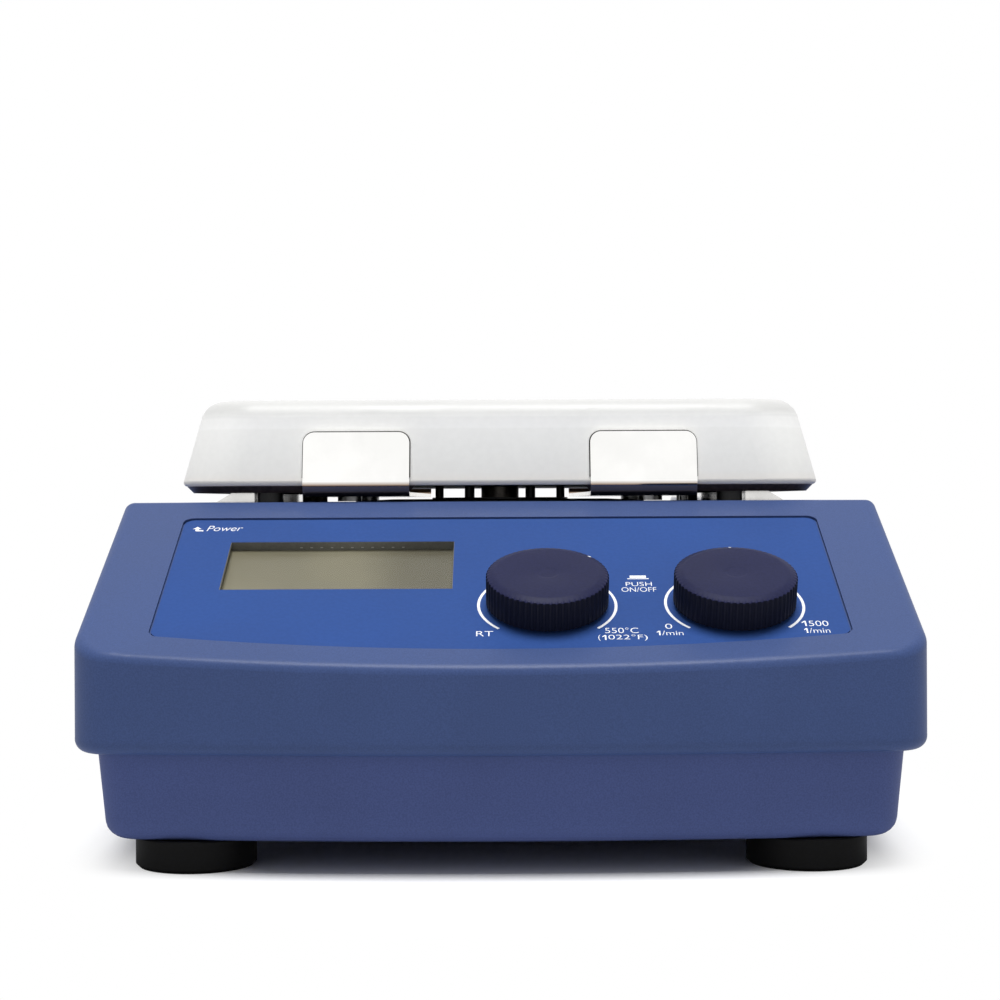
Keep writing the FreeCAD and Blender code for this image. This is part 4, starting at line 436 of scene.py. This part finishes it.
def knob_piece(name, x, body, node):
    """A knob with crisp flutes, a softly rounded bevel and a faint dimple."""
    pitch = 360 / FLUTES
    turns = [(k * pitch + step, flute_edge(step)) for k in range(FLUTES) for step in FLUTE_STEPS]
    verts = [(x + min(radius, edge) * math.cos(math.radians(turn)),
              KNOB_UP + min(radius, edge) * math.sin(math.radians(turn)), height)
             for radius, height in KNOB_RINGS for turn, edge in turns]
    count = len(turns)
    faces = []
    for ring in range(len(KNOB_RINGS) - 1):
        for i in range(count):
            j = (i + 1) % count
            low, high = ring * count, (ring + 1) * count
            faces.append([low + i, low + j, high + j, high + i])
    verts += [(x, KNOB_UP, KNOB_RINGS[0][1]), (x, KNOB_UP, KNOB_RINGS[-1][1])]
    last = (len(KNOB_RINGS) - 1) * count
    for i in range(count):
        j = (i + 1) % count
        faces.append([len(verts) - 2, j, i])
        faces.append([last + i, last + j, len(verts) - 1])
    piece = mesh_piece(name, verts, faces, KNOB_SIDE_SHADED, body, True, PANEL)
    piece.data.materials.append(KNOB)
    crown = CROWN_RING * count
    for face in piece.data.polygons:
        if crown <= face.index < last or face.index >= last and face.index % 2:
            face.material_index = 1
    piece.data.set_sharp_from_angle(angle=KNOB_SHARP)
    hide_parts(node)
    return piece


def knob_tick(name, x, body, turn):
    """The white tick on a knob's bevel."""
    half, sunk = 0.35, 0.02
    verts = []
    for lift in (-sunk, sunk):
        for radius, height in TICK_ENDS:
            for side in (-half, half):
                a = math.radians(turn)
                verts.append((x + radius * math.cos(a) - side * math.sin(a),
                              KNOB_UP + radius * math.sin(a) + side * math.cos(a), height + lift))
    faces = [[0, 1, 3, 2], [4, 6, 7, 5], [0, 4, 5, 1], [2, 3, 7, 6], [0, 2, 6, 4], [1, 5, 7, 3]]
    return mesh_piece(name, verts, faces, INK, body, matrix=PANEL)


def panel_block(name, left, right, low, high, under, over, material):
    """A block in the panel's frame."""
    verts, faces = plate_of([(left, low), (right, low), (right, high), (left, high)], under, over)
    return mesh_piece(name, verts, faces, material, matrix=PANEL)


knob_piece("heating_knob_fluted", HEATING_X, "heating_dial", "heating_knob")
knob_piece("stirring_knob_fluted", STIRRING_X, "stirring_dial", "stirring_knob")
knob_tick("heating_knob_tick", HEATING_X, "heating_dial", HEATING_TURN)
knob_tick("stirring_knob_tick", STIRRING_X, "stirring_dial", STIRRING_TURN)

# The display's opening on the panel (left, right, low, high), heights off the slope, and the trim in it.
WINDOW = (-75.2, -12.8, 42.9, 71.3)
WINDOW_FLOOR, WINDOW_TOP = -1.55, -0.5
GLASS = -2.95
LINER = 0.12
LINER_GAP = 0.05
MARKS = 11
MARK_FIRST, MARK_PITCH, MARK_LENGTH = -56.0, 2.85, 0.7
MARK_UNDER, MARK_OVER = -2.3, -2.0

left, right, low, high = WINDOW
panel_block("display_liner_top", left, right, high - LINER, high, GLASS + LINER_GAP, WINDOW_TOP, FRAME)
panel_block("display_liner_foot", left, right, low, low + LINER, WINDOW_FLOOR, WINDOW_TOP, FRAME)
panel_block("display_liner_left", left, left + LINER, low + LINER, high - LINER, WINDOW_FLOOR, WINDOW_TOP,
            FRAME)
panel_block("display_liner_right", right - LINER, right, low + LINER, high - LINER, WINDOW_FLOOR,
            WINDOW_TOP, FRAME)
for i in range(MARKS):
    start = MARK_FIRST + i * MARK_PITCH
    panel_block(f"display_liner_mark_{i + 1}", start, start + MARK_LENGTH, high - LINER - PRINT,
                high - LINER, MARK_UNDER, MARK_OVER, FRAME_MARK)


# Painted shadow gaps behind the straps, and the cover's lower edge

PLATE_MIDDLE = 32.6
PLATE_HALF = 95.0
PLATE_RIM = 99.2
PLATE_SLANT = math.tan(math.radians(14))
STRAP_X = 41.9
# The dark sheet's two faces, as distances off the plate.
SHADOW_GAP_FACES = (0.04, 0.26)


def strap_shadow_gap(name, x, way):
    """A thin dark sheet between the hot plate and a strap's upturned end, a little larger than the end: a
    painted shadow gap round the end.
    """
    half, top, foot, round_off = 15.8, 115.1, 101.5, 3.5
    tall, steps = round_off * 0.97, 8
    outline = [(-half, foot), (half, foot)]
    for start, side in ((0, 1), (90, -1)):
        for i in range(steps + 1):
            a = math.radians(start + i * 90 / steps)
            outline.append((side * (half - round_off) + round_off * math.cos(a),
                            top - tall + tall * math.sin(a)))
    verts = []
    for off in SHADOW_GAP_FACES:
        for across, height in outline:
            reach = PLATE_HALF + off - (height - PLATE_RIM) * PLATE_SLANT
            verts.append((x + across, PLATE_MIDDLE + way * reach, height))
    count = len(outline)
    faces = [list(range(count)), list(range(count, 2 * count))[::-1]]
    faces += [[i, count + i, count + (i + 1) % count, (i + 1) % count] for i in range(count)]
    if way < 0:
        faces = [face[::-1] for face in faces]
    return mesh_piece(name, verts, faces, SHADOW_GAP_DARK)


for side, x in (("left", -STRAP_X), ("right", STRAP_X)):
    strap_shadow_gap(f"{side}_strap_front_shadow_gap", x, -1)
    strap_shadow_gap(f"{side}_strap_rear_shadow_gap", x, 1)

COVER_HALF = 109.3
COVER_FRONT = -150.0
BOW = 750.66
CORNER = 12.0
SKIRT = 30.8
SIDE_STOPS = (120.0, 60.0, 0.0, -60.0, -120.0)
CORNER_STEPS, BOW_STEPS = 24, 48
# The rolled edge: its radius, how far it lies inside the cover's surface, its turn in degrees, and its depth.
ROLL = 3.4
ROLL_INSET = 0.003
ROLL_TURN, ROLL_STEPS = 83.2, 9
ROLL_DEPTH, ROLL_OVER, ROLL_UNDER = 2.7, 0.4, 0.3


def plan_path():
    """Points and outward directions along the cover's plan, from side to side round the front."""
    arc_y = COVER_FRONT + BOW
    corner_x = COVER_HALF - CORNER
    corner_y = arc_y - math.sqrt((BOW - CORNER) ** 2 - corner_x ** 2)
    lean = math.degrees(math.asin(corner_x / (BOW - CORNER)))
    path = [(COVER_HALF, y, 0.0) for y in SIDE_STOPS]
    for i in range(CORNER_STEPS + 1):
        a = -(90 - lean) * i / CORNER_STEPS
        path.append((corner_x + CORNER * math.cos(math.radians(a)),
                     corner_y + CORNER * math.sin(math.radians(a)), a))
    for i in range(1, BOW_STEPS):
        a = -90 + lean - lean * i / BOW_STEPS
        path.append((BOW * math.cos(math.radians(a)), arc_y + BOW * math.sin(math.radians(a)), a))
    half = path + [(0.0, COVER_FRONT, -90.0)]
    return half + [(-x, y, -180 - a) for x, y, a in path[::-1]]


def skirt_roll():
    """The cover's rolled lower edge in fine steps, from side to side round the front."""
    profile = [(ROLL_INSET, SKIRT + ROLL + ROLL_OVER)]
    for i in range(ROLL_STEPS + 1):
        turn = math.radians(ROLL_TURN * i / ROLL_STEPS)
        profile.append((ROLL_INSET + ROLL * (1 - math.cos(turn)), SKIRT + ROLL * (1 - math.sin(turn))))
    profile += [(ROLL_DEPTH, SKIRT + ROLL_UNDER), (ROLL_DEPTH, SKIRT + ROLL + ROLL_OVER)]
    path = plan_path()
    verts = []
    for x, y, a in path:
        out_x, out_y = math.cos(math.radians(a)), math.sin(math.radians(a))
        verts += [(x - inset * out_x, y - inset * out_y, height) for inset, height in profile]
    count = len(profile)
    faces = [list(range(count)), list(range((len(path) - 1) * count, len(path) * count))[::-1]]
    for i in range(len(path) - 1):
        for j in range(count):
            k = (j + 1) % count
            faces.append([i * count + j, (i + 1) * count + j, (i + 1) * count + k, i * count + k])
    piece = mesh_piece("cover_lower_roll", verts, faces, COVER, smooth=True)
    piece.data.set_sharp_from_angle(angle=ROLL_SHARP)
    return piece


skirt_roll()


# Floor, light and camera

# The shaded part of the floor: half its width and depth, in metres, and the shares where it fades out.
FLOOR_X, FLOOR_Y = 0.112, 0.165
FADE_START, FADE_END = 0.95, 1.30
FLOOR_REACH = 200
FLOOR_ROUGH = 0.9
FLOOR_BOUNCE = (0.70, 0.70, 0.70, 1)
WHITE = (1.0, 1.0, 1.0, 1)
WORLD_LIGHT, WORLD_SEEN = 0.30, 1.0
SUN_POWER = 3.4
SUN_WIDTH, SUN_TILT = math.radians(30), math.radians(8)
# The camera's place, in metres.
CAMERA_PLACE = (0, -0.6534, 0.0948)
CAMERA_ROLL = math.radians(0.25)
CAMERA_LENS, CAMERA_SENSOR = 73.1, 36


def make_floor():
    """A plain floor: white to the camera with the shadow kept, even white further out, less bright as light."""
    size = FLOOR_REACH
    data = bpy.data.meshes.new("floor")
    corners = [(-size, -size, 0), (size, -size, 0), (size, size, 0), (-size, size, 0)]
    data.from_pydata(corners, [], [(0, 1, 2, 3)])
    floor = bpy.data.objects.new("floor", data)
    bpy.context.scene.collection.objects.link(floor)
    made = bpy.data.materials.new("floor")
    made.use_nodes = True
    tree = made.node_tree
    shader = tree.nodes["Principled BSDF"]
    shader.inputs["Roughness"].default_value = FLOOR_ROUGH
    shader.inputs["Specular IOR Level"].default_value = 0.0
    path = tree.nodes.new("ShaderNodeLightPath")
    mix = tree.nodes.new("ShaderNodeMix")
    mix.data_type = "RGBA"
    mix.inputs["A"].default_value = FLOOR_BOUNCE
    mix.inputs["B"].default_value = WHITE
    link(tree, path, "Is Camera Ray", mix, "Factor")
    tree.links.new(mix.outputs["Result"], shader.inputs["Base Color"])
    coords = tree.nodes.new("ShaderNodeTexCoord")
    shrunk = tree.nodes.new("ShaderNodeMapping")
    shrunk.inputs["Scale"].default_value = (1 / FLOOR_X, 1 / FLOOR_Y, 0)
    link(tree, coords, "Object", shrunk, "Vector")
    far = tree.nodes.new("ShaderNodeVectorMath")
    far.operation = "LENGTH"
    link(tree, shrunk, "Vector", far, 0)
    fade = tree.nodes.new("ShaderNodeMapRange")
    fade.interpolation_type = "SMOOTHSTEP"
    fade.inputs["From Min"].default_value = FADE_START
    fade.inputs["From Max"].default_value = FADE_END
    tree.links.new(far.outputs["Value"], fade.inputs["Value"])
    share = tree.nodes.new("ShaderNodeMath")
    share.operation = "MULTIPLY"
    link(tree, fade, 0, share, 0)
    link(tree, path, "Is Camera Ray", share, 1)
    backdrop = tree.nodes.new("ShaderNodeEmission")
    blend = tree.nodes.new("ShaderNodeMixShader")
    link(tree, share, 0, blend, 0)
    link(tree, shader, 0, blend, 1)
    link(tree, backdrop, 0, blend, 2)
    link(tree, blend, 0, tree.nodes["Material Output"], "Surface")
    data.materials.append(made)
    floor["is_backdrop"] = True


def make_world():
    """A plain pale studio: white to the camera and in reflections, softer as light."""
    world = bpy.data.worlds.new("studio")
    bpy.context.scene.world = world
    world.use_nodes = True
    tree = world.node_tree
    back = tree.nodes["Background"]
    back.inputs["Color"].default_value = WHITE
    path = tree.nodes.new("ShaderNodeLightPath")
    seen = tree.nodes.new("ShaderNodeMath")
    seen.operation = "MAXIMUM"
    link(tree, path, "Is Camera Ray", seen, 0)
    link(tree, path, "Is Glossy Ray", seen, 1)
    level = tree.nodes.new("ShaderNodeMapRange")
    level.inputs["To Min"].default_value = WORLD_LIGHT
    level.inputs["To Max"].default_value = WORLD_SEEN
    link(tree, seen, 0, level, "Value")
    link(tree, level, 0, back, "Strength")


def make_lights():
    """One broad soft light from above and a little in front."""
    data = bpy.data.lights.new("overhead", "SUN")
    data.energy = SUN_POWER
    data.angle = SUN_WIDTH
    light = bpy.data.objects.new("overhead", data)
    bpy.context.scene.collection.objects.link(light)
    light.rotation_euler = (SUN_TILT, 0, 0)
    light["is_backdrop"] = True


def make_camera():
    """The photo's camera: level, from the front, just under the plate's top."""
    data = bpy.data.cameras.new("camera")
    data.sensor_width = CAMERA_SENSOR
    data.lens = CAMERA_LENS
    camera = bpy.data.objects.new("camera", data)
    bpy.context.scene.collection.objects.link(camera)
    camera.location = CAMERA_PLACE
    camera.rotation_euler = (math.radians(90), CAMERA_ROLL, 0)
    bpy.context.scene.camera = camera


make_floor()
make_world()
make_lights()
make_camera()
bpy.context.scene.view_settings.view_transform = "Standard"

low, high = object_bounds()
